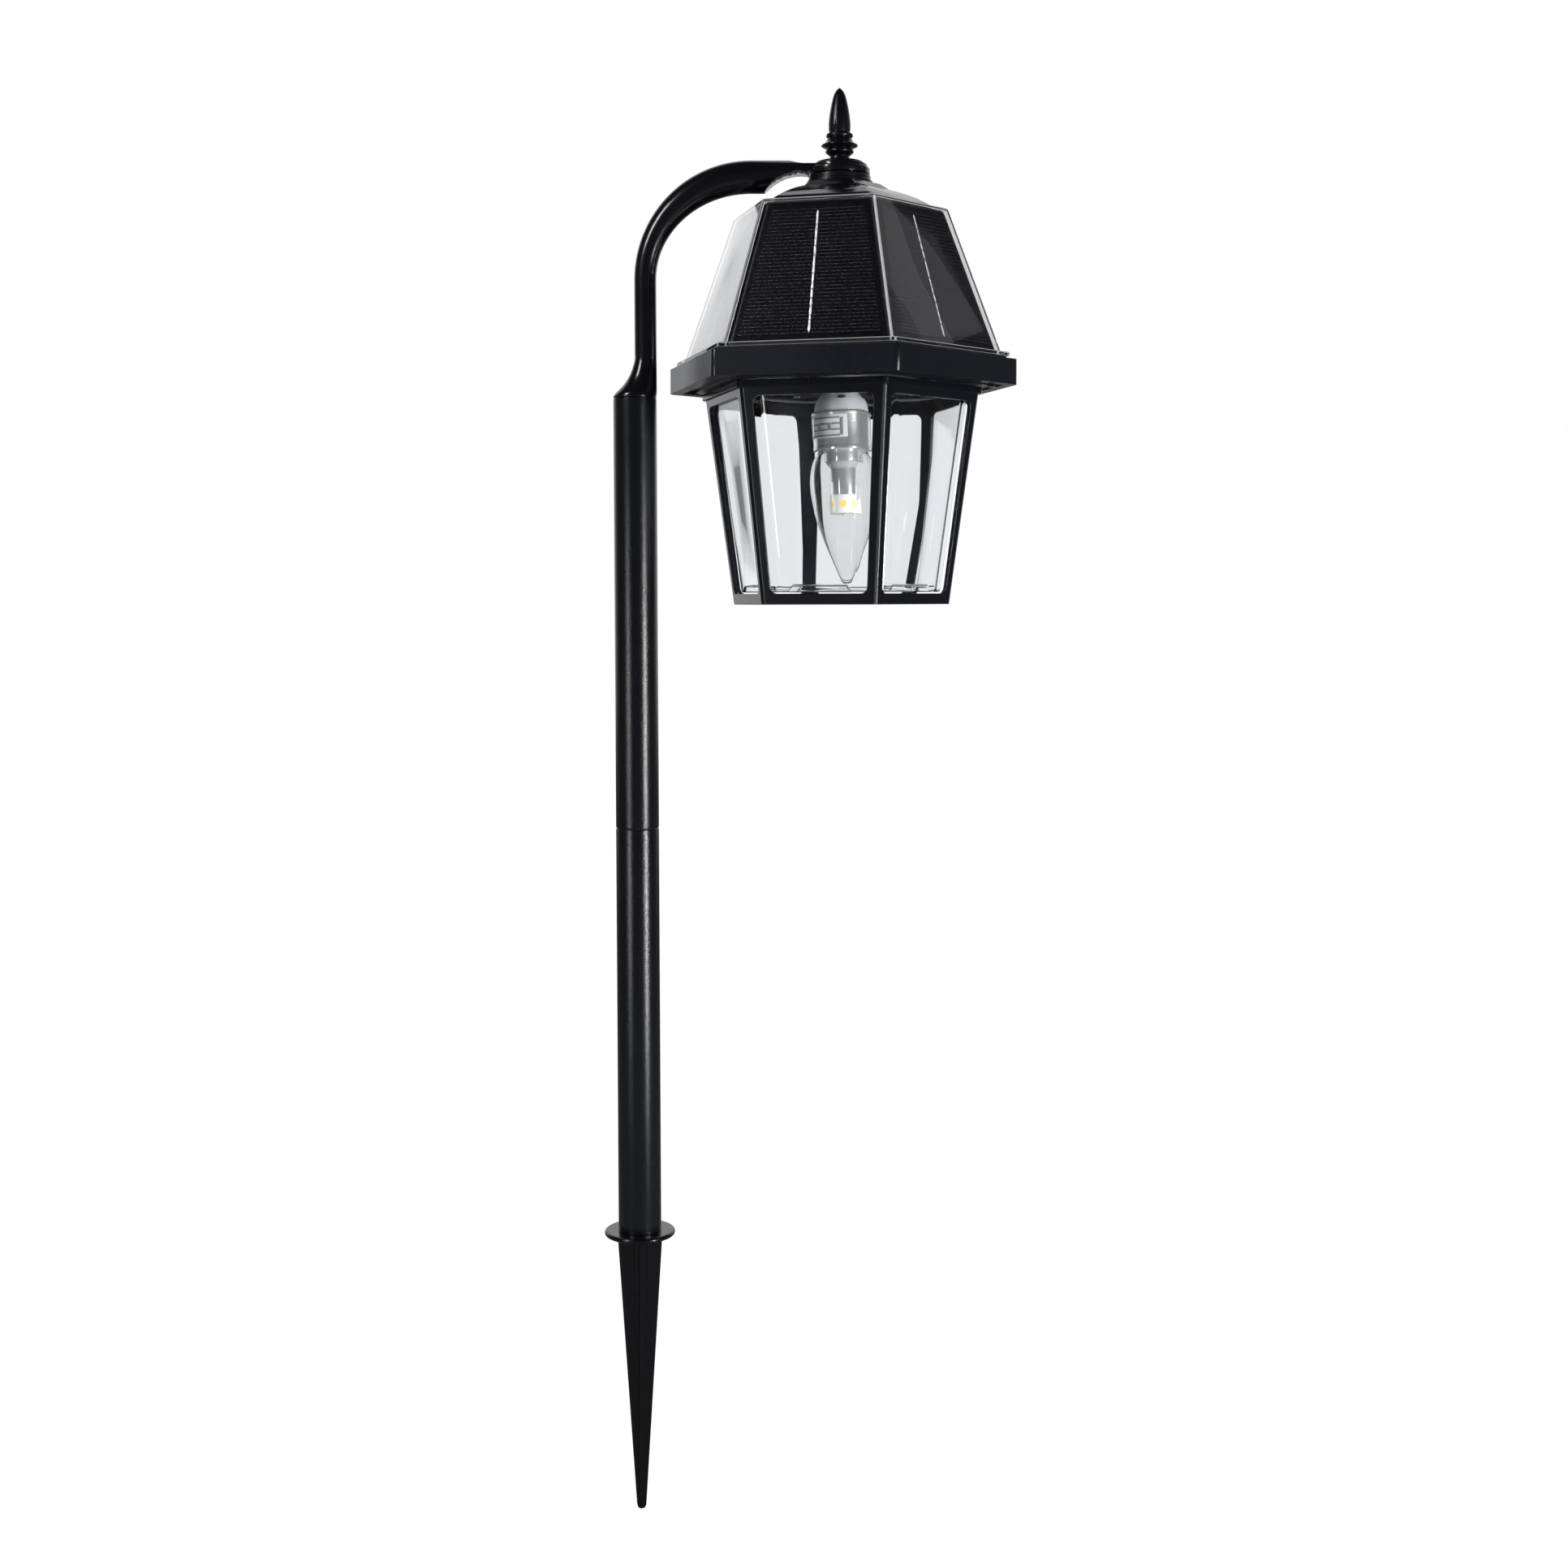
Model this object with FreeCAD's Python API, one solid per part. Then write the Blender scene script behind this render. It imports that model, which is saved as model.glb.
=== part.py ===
import FreeCAD, Part
import math
import os

# A solar lantern on a garden pole, in millimetres.  +Z is up.  The origin is on the pole's axis at the
# underside of the stake's flange, which is where the ground comes to.  +X runs from the pole to the
# lantern.  Everything in the lantern is first built round its own axis with a corner of the hexagon on
# +X, and is then turned by lantern_turn and moved out by arm_reach.

V = FreeCAD.Vector
UP = V(0, 0, 1)
SIDES = 6
SQ3_2 = math.cos(math.radians(30))

# ---- clearances
fit_gap = 0.08          # radial gap of a pin or plug that turns in its bore
seat_gap = 0.3          # gap between faces of parts that move past each other
push_gap = 0.05         # radial gap of a push fit inside one body

# ---- ground stake
flange_radius = 21.0
flange_thickness = 3.0
stake_length = 167.0
stake_width = 26.6
stake_tip_width = 5.4
fin_thickness = 3.2
stake_core_radius = 4.6
fin_turn = 10.0         # the fins' turn from the arm's direction, degrees
plug_length = 34.0
plug_wall = 2.4
plug_floor = 3.0

# ---- pole
pole_radius = 12.7
pole_wall = 0.9
lower_pole_length = 240.8
upper_pole_length = 252.2
pole_edge = 0.5         # bevel on the cut ends of the tubes
coupler_lip = 0.6       # the coupler's lip that shows as a dark line between the tubes
coupler_lip_inset = 0.5 # how far the lip stays inside the tubes' outer face
coupler_depth = 32.0
coupler_wall = 1.6

# ---- hook arm
arm_clearance = 16.0    # pole axis to the circle of the rim's corners
arm_width = 12.9
arm_deep = 19.1         # thickness of the arm over the lantern
arm_seat = 1.4          # height of the band where the arm sits on the pole
fairing_height = 26.0
bend_start = 69.0       # height of the bend's start above the pole's top
bend_out = 68.5
bend_rise = 69.1
eye_radius = 17.7
eye_step_radius = 16.2
eye_height = 6.4
eye_step = 2.1
eye_drop = 2.8          # the eye's top under the arm's top
tongue_thickness = 5.0

# ---- hub and finial
stud_radius = 3.0
collar_radius = 19.3
collar_height = 5.4
cap_radius = 14.6
cap_height = 1.7
stud_length = 17.0      # how far the stud goes up into the finial
stud_head_radius = 5.8
stud_head_height = 4.0
washer_radius = 9.0
washer_thickness = 1.6

# ---- roof
cover_height = 83.6
cover_bottom_radius = 95.1
cover_top_radius = 64.0
cover_wall = 1.8
cover_corner = 2.2
cover_flange = 5.0      # how far the cover's foot stands out past its wall
cover_flange_height = 2.4
dome_radius = 54.0
dome_height = 15.8
dome_wall = 2.0
dome_neck = 21.0        # half width of the dome's flat top
hanger_post_radius = 12.0
hanger_post_gap = 0.3
panel_gap = 0.8
panel_thickness = 1.6
panel_margin = 1.2
panel_top_margin = 3.0
cell_border = 3.6
cell_thickness = 0.3
core_wall = 2.0
core_skirt_inset = 7.1  # the core's skirt inside the cover's foot, at the corners
glue = 0.1
lead_hole_radius = 1.6
lead_hole_drop = 10.0   # the leads' holes under the core's top

# ---- rim and ceiling
rim_margin = 9.3        # the rim's corners outside the cover's foot
rim_height = 14.7
rim_wall = 2.2
rim_corner = 3.5
rim_hole = 70.0
rim_shelf_inset = 3.1   # the shelf's hole inside the cover's foot, at the corners
rim_channel_depth = 0.9
rim_channel_inset = 7.9 # the channel's outer corners inside the rim's
rim_channel_width = 6.5
rim_drop = 1.3          # the rim's top under the cover's foot and its seal
gasket_height = 0.5
gasket_inset = 1.5
gasket_width = 4.5
ceiling_margin = 1.3    # the ceiling's corners outside the cage's
ceiling_thickness = 2.4
slot_inset = 17.6       # the latch slots' inner ends inside the rim's corners
slot_depth = 6.7
slot_width = 12.0
latch_travel = 1.8
latch_play = 0.4
latch_thickness = 1.6
latch_grip = 1.1        # how far the latch's tab stands out under the rim

# ---- screws
screw_radius = 1.5
screw_length = 12.0     # how far the screws go into the bosses
screw_play = 0.3
screw_head_radius = 2.9
screw_head_height = 1.5
boss_radius = 3.6
boss_height = 14.0
boss_web = 2.0
small_screw_radius = 1.0
small_head_radius = 2.0
small_head_height = 1.2
small_screw_hole = 1.2

# ---- cage and liner
cage_height = 123.7
cage_top_radius = 82.7
cage_bottom_radius = 65.4
cage_wall = 2.6
cage_corner = 1.4
cage_lip = 1.8
cage_lip_height = 2.5
cage_collar = 1.5       # how far the lip stands up round the liner's flange
cage_rebate = 0.8       # the lip's wall beside the liner's flange
cage_foot = 3.0
cage_gap = 2.1          # the cage's top under the rim
post_top = 6.3
post_bottom = 5.3
rail_top = 7.0
rail_bottom = 6.2
window_corner = 4.0
liner_wall = 1.2
liner_gap = 0.5
liner_corner = 9.0
liner_floor_lift = 7.1  # the liner's feet above the cage's foot
liner_step = 2.9
liner_foot_width = 10.0 # how far the raised strips reach in from the liner's sides
liner_foot_slope = 3.0
liner_flange = 1.3
liner_flange_gap = 0.4

# ---- lamp
lamp_lean = 2.0         # the lamp hangs this many degrees out of plumb, its tip away from the pole
screw_cap_radius = 5.9
screw_cap_length = 14.0
housing_height = 14.2
housing_top_radius = 7.5
collar_tube_radius = 17.7
collar_tube_height = 22.8
neck_radius = 11.5
neck_height = 6.6
cone_height = 3.8
column_radius = 8.4
column_height = 15.2
board_radius = 9.2
board_height = 11.0
chip_count = 8
chip_width = 3.4
chip_height = 3.9
chip_thickness = 0.7
glass_wall = 0.8
glass_neck_radius = 14.8
glass_radius = 20.8
glass_length = 78.0
switch_slot_width = 5.0
switch_slot_height = 1.8
switch_travel = 1.1
switch_rise = 8.1       # the switch's height above the housing's foot
switch_floor = 10.4
switch_reach = 13.3
switch_play = 0.15
tube_wall = 1.2
tube_floor = 2.0
tube_edge = 0.6
label_gap_low = 7.0
label_gap_high = 2.4
label_thickness = 0.12
label_angle = 100.0
socket_wall = 2.4
socket_height = 24.0
socket_end = 4.0
socket_flange = 4.0
socket_flange_height = 2.0
socket_lift = 1.0       # the socket's foot above the lamp housing
contact_radius = 2.0

# ---- inside the roof
cell_radius = 9.2
cell_length = 65.0
button_height = 0.8
holder_wall = 1.5
holder_gap = 0.3
holder_end_gap = 2.4
contact_half_width = 5.0
battery_side = 36.0     # the battery's distance from the lantern's axis
door_length = 74.0
door_width = 25.0
door_thickness = 1.4
door_corner = 2.5
door_screw_x = 35.2
board_side = 40.0
board_screw_x = 24.0
standoff = 4.0
standoff_radius = 3.0
board_length = 56.0
board_width = 26.0
board_thickness = 1.6
wire_radius = 0.7

# ---- heights that follow
pole_joint = flange_thickness + lower_pole_length
pole_top = pole_joint + coupler_lip + upper_pole_length
arm_foot = pole_top + seat_gap
arm_top = arm_foot + bend_start + bend_rise
arm_bottom = arm_top - arm_deep
eye_top = arm_top - eye_drop
eye_bottom = eye_top - eye_height
hub_foot = eye_bottom - seat_gap - collar_height
cover_top = hub_foot - dome_height
cover_bottom = cover_top - cover_height
rim_top = cover_bottom - cover_flange_height - gasket_height - rim_drop
rim_bottom = rim_top - rim_height
ceiling_bottom = rim_bottom + rim_wall
ceiling_top = ceiling_bottom + ceiling_thickness
cage_top = rim_bottom - cage_gap
cage_bottom = cage_top - cage_height
lantern_turn = -14.1
slope = (cover_bottom_radius - cover_top_radius) / cover_height
tilt = math.atan(slope * SQ3_2)

# ---- sizes that follow
finial_foot = eye_top + cap_height + seat_gap
stud_top = finial_foot + stud_length
core_top = cover_top - cover_wall - glue
core_depth = cover_wall + panel_gap + panel_thickness + glue
core_skirt_radius = cover_bottom_radius - core_skirt_inset
rim_radius = cover_bottom_radius + rim_margin
rim_shelf_hole = cover_bottom_radius - rim_shelf_inset
slot_reach = rim_radius - slot_inset
arm_reach = rim_radius + arm_clearance
ceiling_radius = cage_top_radius + ceiling_margin
liner_inset = (cage_wall + liner_gap) / SQ3_2
liner_mouth = cage_top_radius * SQ3_2 - cage_wall - liner_gap - liner_wall
boss_reach = liner_mouth - screw_head_radius - 0.6
lamp_drop = ceiling_bottom - 1.0
housing_foot = lamp_drop - housing_height
tube_foot = housing_foot - collar_tube_height
neck_foot = tube_foot - neck_height
cone_foot = neck_foot - cone_height
column_foot = cone_foot - column_height
board_foot = column_foot - board_height
switch_height = housing_foot + switch_rise
socket_foot = lamp_drop + socket_lift
socket_outer = screw_cap_radius + push_gap + socket_wall
cell_axis = ceiling_top + cell_radius + 0.2
board_top = ceiling_top + standoff + board_thickness


# ---------------------------------------------------------------- shape helpers
def hexagon(radius, z, cut=0.0):
    """A hexagon with a corner on +X.  cut takes that much off both sides of each corner."""
    points = []
    for k in range(SIDES):
        corner = V(radius, 0, 0)
        before = V(radius / 2, -radius * SQ3_2, 0) - corner
        after = V(radius / 2, radius * SQ3_2, 0) - corner
        steps = [corner + before.normalize() * cut, corner + after.normalize() * cut] if cut else [corner]
        for point in steps:
            turned_point = FreeCAD.Rotation(UP, 60.0 * k).multVec(point)
            points.append(V(turned_point.x, turned_point.y, z))
    return Part.makePolygon(points + points[:1])


def hex_solid(lower_radius, lower_z, upper_radius, upper_z, cut=0.0):
    wires = [hexagon(lower_radius, lower_z, cut), hexagon(upper_radius, upper_z, cut)]
    return Part.makeLoft(wires, True, True)


def round_hex_prism(radius, corner, lower_z, upper_z):
    prism = hex_solid(radius, lower_z, radius, upper_z)
    upright = [e for e in prism.Edges if abs(e.tangentAt(e.FirstParameter).z) > 0.9]
    return prism.makeFillet(corner, upright)


def soften_slopes(solid, corner):
    """Round the edges that run up the corners of a tapered hexagon."""
    sloping = [e for e in solid.Edges if abs(e.tangentAt(e.FirstParameter).z) > 0.5]
    return solid.makeFillet(corner, sloping)


def path_edges(start, moves, flat):
    """Edges from start through the moves.  A move with one point is a straight line, with two points
    an arc through the first to the second, and with more a smooth curve through them all."""
    edges = []
    here = flat(*start)
    for move in moves:
        points = [flat(*p) for p in move]
        if len(points) == 1:
            edges.append(Part.LineSegment(here, points[0]).toShape())
        elif len(points) == 2:
            edges.append(Part.Arc(here, points[0], points[1]).toShape())
        else:
            curve = Part.BSplineCurve()
            curve.interpolate([here] + points)
            edges.append(curve.toShape())
        here = points[-1]
    return edges


def turned(start, *moves):
    """Revolve the closed profile of (radius, height) points round Z."""
    edges = path_edges(start, list(moves) + [[start]], lambda r, z: V(r, 0, z))
    return Part.Face(Part.Wire(edges)).revolve(V(0, 0, 0), UP, 360)


def side_cut(start, moves, half_width):
    """A solid with the closed outline of (x, z) points, half_width to each side of the XZ plane."""
    edges = path_edges(start, list(moves) + [[start]], lambda x, z: V(x, -half_width, z))
    return Part.Face(Part.Wire(edges)).extrude(V(0, 2 * half_width, 0))


def rod(radius, lower_z, upper_z, x=0.0, y=0.0):
    return Part.makeCylinder(radius, upper_z - lower_z, V(x, y, lower_z), UP)


def block(x0, y0, z0, x1, y1, z1):
    return Part.makeBox(x1 - x0, y1 - y0, z1 - z0, V(x0, y0, z0))


def fuse(shapes):
    return shapes[0].multiFuse(shapes[1:]).removeSplitter()


def spun(shape, degrees):
    copy = shape.copy()
    copy.rotate(V(0, 0, 0), UP, degrees)
    return copy


def ring_of(shape, count, first=0.0):
    return [spun(shape, first + 360.0 * k / count) for k in range(count)]


def group(shapes):
    return Part.makeCompound(shapes)


def screw(radius, length, head_radius, head_height, x, y, under_head):
    """A screw whose head is below under_head and whose shank stands up from it."""
    head = rod(head_radius, under_head - head_height, under_head, x, y)
    slot = block(x - head_radius, y - 0.4, under_head - head_height, x + head_radius, y + 0.4,
                 under_head - head_height / 2)
    return head.cut(slot).fuse(rod(radius, under_head, under_head + length, x, y)).removeSplitter()


def lead(points, radius):
    """A wire along straight runs joined by tangent arcs, each arc as large as its two runs allow."""
    nodes = [V(*p) for p in points]
    edges = []
    here = nodes[0]
    for before, corner, after in zip(nodes, nodes[1:], nodes[2:]):
        toward = (corner - before).normalize()
        away = (after - corner).normalize()
        reach = 0.45 * min((corner - before).Length, (after - corner).Length)
        first = corner - toward * reach
        last = corner + away * reach
        half_turn = toward.getAngle(away) / 2
        inward = (away - toward).normalize()
        bend = reach / math.tan(half_turn)
        middle = corner + inward * bend * (1 / math.cos(half_turn) - 1)
        edges.append(Part.LineSegment(here, first).toShape())
        edges.append(Part.Arc(first, middle, last).toShape())
        here = last
    edges.append(Part.LineSegment(here, nodes[-1]).toShape())
    path = Part.Wire(edges)
    start = nodes[0]
    section = Part.Wire(Part.makeCircle(radius, start, (nodes[1] - nodes[0]).normalize()))
    return path.makePipeShell([section], True, True)


def in_lantern(shape):
    """Turn a shape from the lantern's own axes and carry it out to the end of the arm."""
    placed = spun(shape, lantern_turn)
    placed.translate(V(arm_reach, 0, 0))
    return placed


def in_lamp(shape):
    """Lean a lamp shape out of plumb and carry it out to the lantern's axis."""
    placed = shape.copy()
    placed.rotate(V(0, 0, lamp_drop), V(0, 1, 0), -lamp_lean)
    placed.translate(V(arm_reach, 0, 0))
    return placed


# ---------------------------------------------------------------- pole
def ground_stake():
    """Flange, a plug that fills the lower tube's end, and four tapering fins round a tapering core."""
    half = stake_width / 2
    tip = stake_tip_width / 2
    tip_top = tip - stake_length
    fin = side_cut((-half, 0), [[(half, 0)], [(tip, tip_top)], [(0, -stake_length), (-tip, tip_top)]],
                   fin_thickness / 2)
    core = turned((0, 0), [(stake_core_radius, 0)], [(fin_thickness / 2, tip_top)], [(0, tip_top)])
    edge = flange_thickness / 2
    flange = turned((0, 0), [(flange_radius - edge, 0)], [(flange_radius, edge), (flange_radius - edge,
                    flange_thickness)], [(0, flange_thickness)])
    plug = rod(pole_radius - pole_wall - push_gap, flange_thickness, flange_thickness + plug_length)
    hollow = rod(pole_radius - pole_wall - push_gap - plug_wall, flange_thickness + plug_floor,
                 flange_thickness + plug_length)
    fins = [spun(fin, fin_turn), spun(fin, fin_turn + 90)]
    return fuse([flange, core, plug.cut(hollow)] + fins)


def pole_tube(lower_z, length):
    outer = pole_radius
    inner = pole_radius - pole_wall
    upper_z = lower_z + length
    return turned((inner, lower_z), [(outer - pole_edge, lower_z)], [(outer, lower_z + pole_edge)],
                  [(outer, upper_z - pole_edge)], [(outer - pole_edge, upper_z)], [(inner, upper_z)])


def pole_coupler():
    """The sleeve inside both tubes, with a thin lip between their ends."""
    outer = pole_radius - pole_wall - push_gap
    sleeve = rod(outer, pole_joint - coupler_depth, pole_joint + coupler_lip + coupler_depth)
    lip = rod(pole_radius - coupler_lip_inset, pole_joint, pole_joint + coupler_lip)
    hole = rod(outer - coupler_wall, pole_joint - coupler_depth, pole_joint + coupler_lip + coupler_depth)
    return sleeve.fuse(lip).cut(hole).removeSplitter()


# ---------------------------------------------------------------- hook arm
def fairing():
    """From the pole's full width at the seat to the arm's width, flush on the side by the lantern."""
    foot = arm_foot + arm_seat
    right = arm_width
    left = [(0.0, -pole_radius), (0.12, -10.2), (0.31, -5.9), (0.55, -2.5), (0.78, -0.5), (1.0, 0.0)]
    rings = []
    for share, x in left:
        wide = right if share else pole_radius
        centre = V((x + wide) / 2, 0, foot + share * (fairing_height - arm_seat))
        rings.append(Part.Wire(Part.makeCircle((wide - x) / 2, centre, UP)))
    return Part.makeLoft(rings, True, False)


def arm_bend():
    """The bend thickens as it turns: each round section spans the outer and the inner curve."""
    start = arm_foot + bend_start
    steps = 9
    rings = []
    for k in range(steps + 1):
        turn = math.radians(90.0 * k / steps)
        outer = V(bend_out - bend_out * math.cos(turn), 0, start + bend_rise * math.sin(turn))
        inner = V(bend_out - (bend_out - arm_width) * math.cos(turn), 0,
                  start + (bend_rise - arm_deep) * math.sin(turn))
        across = outer - inner
        normal = V(across.z, 0, -across.x).normalize()
        rings.append(Part.Wire(Part.makeCircle(across.Length / 2, (outer + inner) / 2, normal)))
    return Part.makeLoft(rings, True, False)


def arm_end():
    """The level end of the arm: scooped out underneath and dipped on top to a flat tongue."""
    middle = arm_top - arm_deep / 2
    end = arm_reach - eye_step_radius + 4
    bar = Part.makeCylinder(arm_deep / 2, end - bend_out, V(bend_out, 0, middle), V(1, 0, 0))
    tongue_bottom = eye_top - tongue_thickness
    scoop_start, scoop_middle, scoop_end = (arm_reach - back for back in (44.4, 36.8, 18.4))
    scoop = side_cut((scoop_start, arm_bottom - 0.6),
                     [[(scoop_middle, arm_bottom + 7.4), (scoop_end, tongue_bottom)],
                      [(end + 1, tongue_bottom)], [(end + 1, arm_bottom - 5)],
                      [(scoop_start, arm_bottom - 5)]], arm_deep)
    dip_start, dip_middle, dip_end = (arm_reach - back for back in (30.4, 25.8, 20.4))
    dip = side_cut((dip_start, arm_top + 0.05),
                   [[(dip_middle, arm_top - 2.0), (dip_end, eye_top)], [(end + 1, eye_top)],
                    [(end + 1, arm_top + 5)], [(dip_start, arm_top + 5)]], arm_deep)
    return bar.cut(scoop).cut(dip)


def hook_arm():
    """Plug, seat, fairing, upright, bend, level end and eye, moulded in one piece."""
    plug_radius = pole_radius - pole_wall - fit_gap
    plug = rod(plug_radius, arm_foot - plug_length, arm_foot)
    hollow = rod(plug_radius - plug_wall, arm_foot - plug_length, arm_foot - plug_floor)
    seat_top = arm_foot + arm_seat
    seat = turned((0, arm_foot), [(pole_radius - pole_edge, arm_foot)],
                  [(pole_radius, arm_foot + pole_edge)], [(pole_radius, seat_top)], [(0, seat_top)])
    start = arm_foot + bend_start
    upright = rod(arm_width / 2, arm_foot + fairing_height, start, arm_width / 2)
    eye = turned((0, eye_bottom), [(eye_radius - 0.6, eye_bottom)], [(eye_radius, eye_bottom + 0.6)],
                 [(eye_radius, eye_top - eye_step - 0.8)], [(eye_radius - 0.25, eye_top - eye_step - 0.25),
                 (eye_radius - 0.8, eye_top - eye_step)], [(eye_step_radius, eye_top - eye_step)],
                 [(eye_step_radius, eye_top - 0.7)], [(eye_step_radius - 0.2, eye_top - 0.2),
                 (eye_step_radius - 0.7, eye_top)], [(0, eye_top)])
    eye.translate(V(arm_reach, 0, 0))
    bore = rod(stud_radius + fit_gap, eye_bottom, eye_top, arm_reach)
    return fuse([plug.cut(hollow), seat, fairing(), upright, arm_bend(), arm_end(), eye]).cut(bore)


def hub_cap():
    """The low washer on top of the eye."""
    foot = eye_top
    top = foot + cap_height
    cap = turned((stud_radius + fit_gap, foot), [(cap_radius, foot)], [(cap_radius - 0.3, foot + 0.9),
                 (cap_radius - 1.6, top - 0.2)], [(cap_radius - 5, top)], [(stud_radius + fit_gap, top)])
    cap.translate(V(arm_reach, 0, 0))
    return cap


# ---------------------------------------------------------------- finial, stud and hub
def finial():
    """Neck, rings, flared skirt and a spear, turned in one piece with a blind hole for the stud."""
    z = finial_foot
    body = turned((0, z), [(6.6, z)], [(5.9, z + 1.2), (5.8, z + 3.0)],
                  [(7.5, z + 4.6)], [(8.3, z + 5.7), (7.5, z + 6.8)], [(6.9, z + 7.4)],
                  [(9.0, z + 8.0)], [(10.7, z + 8.9)], [(10.6, z + 9.4)], [(8.2, z + 11.2), (7.1, z + 13.2)],
                  [(6.9, z + 13.6)], [(7.9, z + 14.9), (6.9, z + 16.2)], [(6.1, z + 16.5)],
                  [(6.4, z + 21.2), (5.9, z + 27.0), (4.3, z + 35.2), (2.1, z + 40.8), (0.0, z + 42.7)])
    for cut in ring_of(flute(z), 8, 22.5):
        body = body.cut(cut)
    body = body.cut(rod(stud_radius + push_gap, z, stud_top + 1))
    body.translate(V(arm_reach, 0, 0))
    return body


def flute(z):
    """One long shallow groove of the spear, as the cut of a bent rod."""
    points = [(7.0, 16.9), (7.3, 21.2), (6.85, 27.0), (5.4, 34.0)]
    rings = []
    for k, (r, up) in enumerate(points):
        rings.append(Part.Wire(Part.makeCircle(1.2 - 0.15 * k, V(r, 0, z + up), UP)))
    return Part.makeLoft(rings, True, False)


def swivel_collar():
    """The stepped black ring between the eye and the roof's cap."""
    z = hub_foot
    ring = turned((stud_radius + push_gap, z), [(collar_radius, z)], [(collar_radius, z + 1.8)],
                  [(collar_radius - 0.2, z + 2.3), (collar_radius - 0.7, z + 2.5)],
                  [(collar_radius - 1.2, z + 2.5)], [(collar_radius - 1.2, z + 4.6)],
                  [(collar_radius - 1.4, z + 5.2), (collar_radius - 2.0, z + collar_height)],
                  [(stud_radius + push_gap, z + collar_height)])
    return in_lantern(ring)


def hanger_stud():
    """The threaded rod that the lantern hangs on, with its hexagon head under the roof's core."""
    head_bottom = core_top - core_wall - washer_thickness - stud_head_height
    shank = rod(stud_radius, head_bottom, stud_top)
    head = hex_solid(stud_head_radius, head_bottom, stud_head_radius, head_bottom + stud_head_height)
    return in_lantern(shank.fuse(head).removeSplitter())


def stud_washer():
    upper_z = core_top - core_wall
    lower_z = upper_z - washer_thickness
    hole = rod(stud_radius + push_gap, lower_z, upper_z)
    return in_lantern(rod(washer_radius, lower_z, upper_z).cut(hole))


# ---------------------------------------------------------------- roof
def cover_at(z):
    """The cover's outer corner radius at a height."""
    return cover_bottom_radius - slope * (z - cover_bottom)


def inset_hex(depth, lower_z, upper_z, cut=0.0):
    """The part of the cover's pyramid that lies depth or more under its outer faces."""
    less = depth / math.cos(tilt) / SQ3_2
    return hex_solid(cover_at(lower_z) - less, lower_z, cover_at(upper_z) - less, upper_z, cut)


def cover_lens():
    """Clear pyramid with a flat top, a hole for the hanger and a foot that stands out on the rim."""
    outer = soften_slopes(inset_hex(0, cover_bottom, cover_top), cover_corner)
    foot_bottom = cover_bottom - cover_flange_height
    foot = round_hex_prism(cover_bottom_radius + cover_flange, cover_corner, foot_bottom, cover_bottom)
    inner = inset_hex(cover_wall, cover_bottom, cover_top - cover_wall)
    inner_foot = hex_solid(cover_at(cover_bottom) - cover_wall / math.cos(tilt) / SQ3_2, foot_bottom - 1,
                           cover_at(cover_bottom) - cover_wall / math.cos(tilt) / SQ3_2, cover_bottom)
    hole = rod(hanger_post_radius + hanger_post_gap, cover_top - cover_wall - 1, cover_top + 1)
    return in_lantern(outer.fuse(foot).cut(inner).cut(inner_foot).cut(hole).removeSplitter())


def dome_profile(low_radius, height, crown):
    """Outline of the cap in a plane square to one pair of its sides: a shallow ogee over a low wall."""
    side = low_radius * SQ3_2
    base = cover_top
    shoulder = base + 2.2
    curve = base + height * 0.49
    brow = base + height * 0.77
    moves = [[(side, base)], [(side, shoulder)], [(side * 0.79, curve), (side * 0.55, brow)],
             [(crown, base + height)], [(-crown, base + height)], [(-side * 0.55, brow)],
             [(-side * 0.79, curve), (-side, shoulder)]]
    return side_cut((-side, base), moves, 2 * low_radius)


def dome_solid(low_radius, height, crown):
    across = spun(dome_profile(low_radius, height, crown), 30)
    return across.common(spun(across, 60)).common(spun(across, 120)).removeSplitter()


def roof_dome():
    """Black six-sided cap with curved sides, with a post down through the cover to the core."""
    outer = dome_solid(dome_radius, dome_height, dome_neck)
    inner = dome_solid(dome_radius - dome_wall / SQ3_2, dome_height - dome_wall, dome_neck - 1)
    post = rod(hanger_post_radius, core_top, cover_top + dome_height)
    bore = rod(stud_radius + push_gap, cover_top - cover_wall - 1, cover_top + dome_height + 1)
    return in_lantern(outer.cut(inner).fuse(post).cut(bore).removeSplitter())


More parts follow.
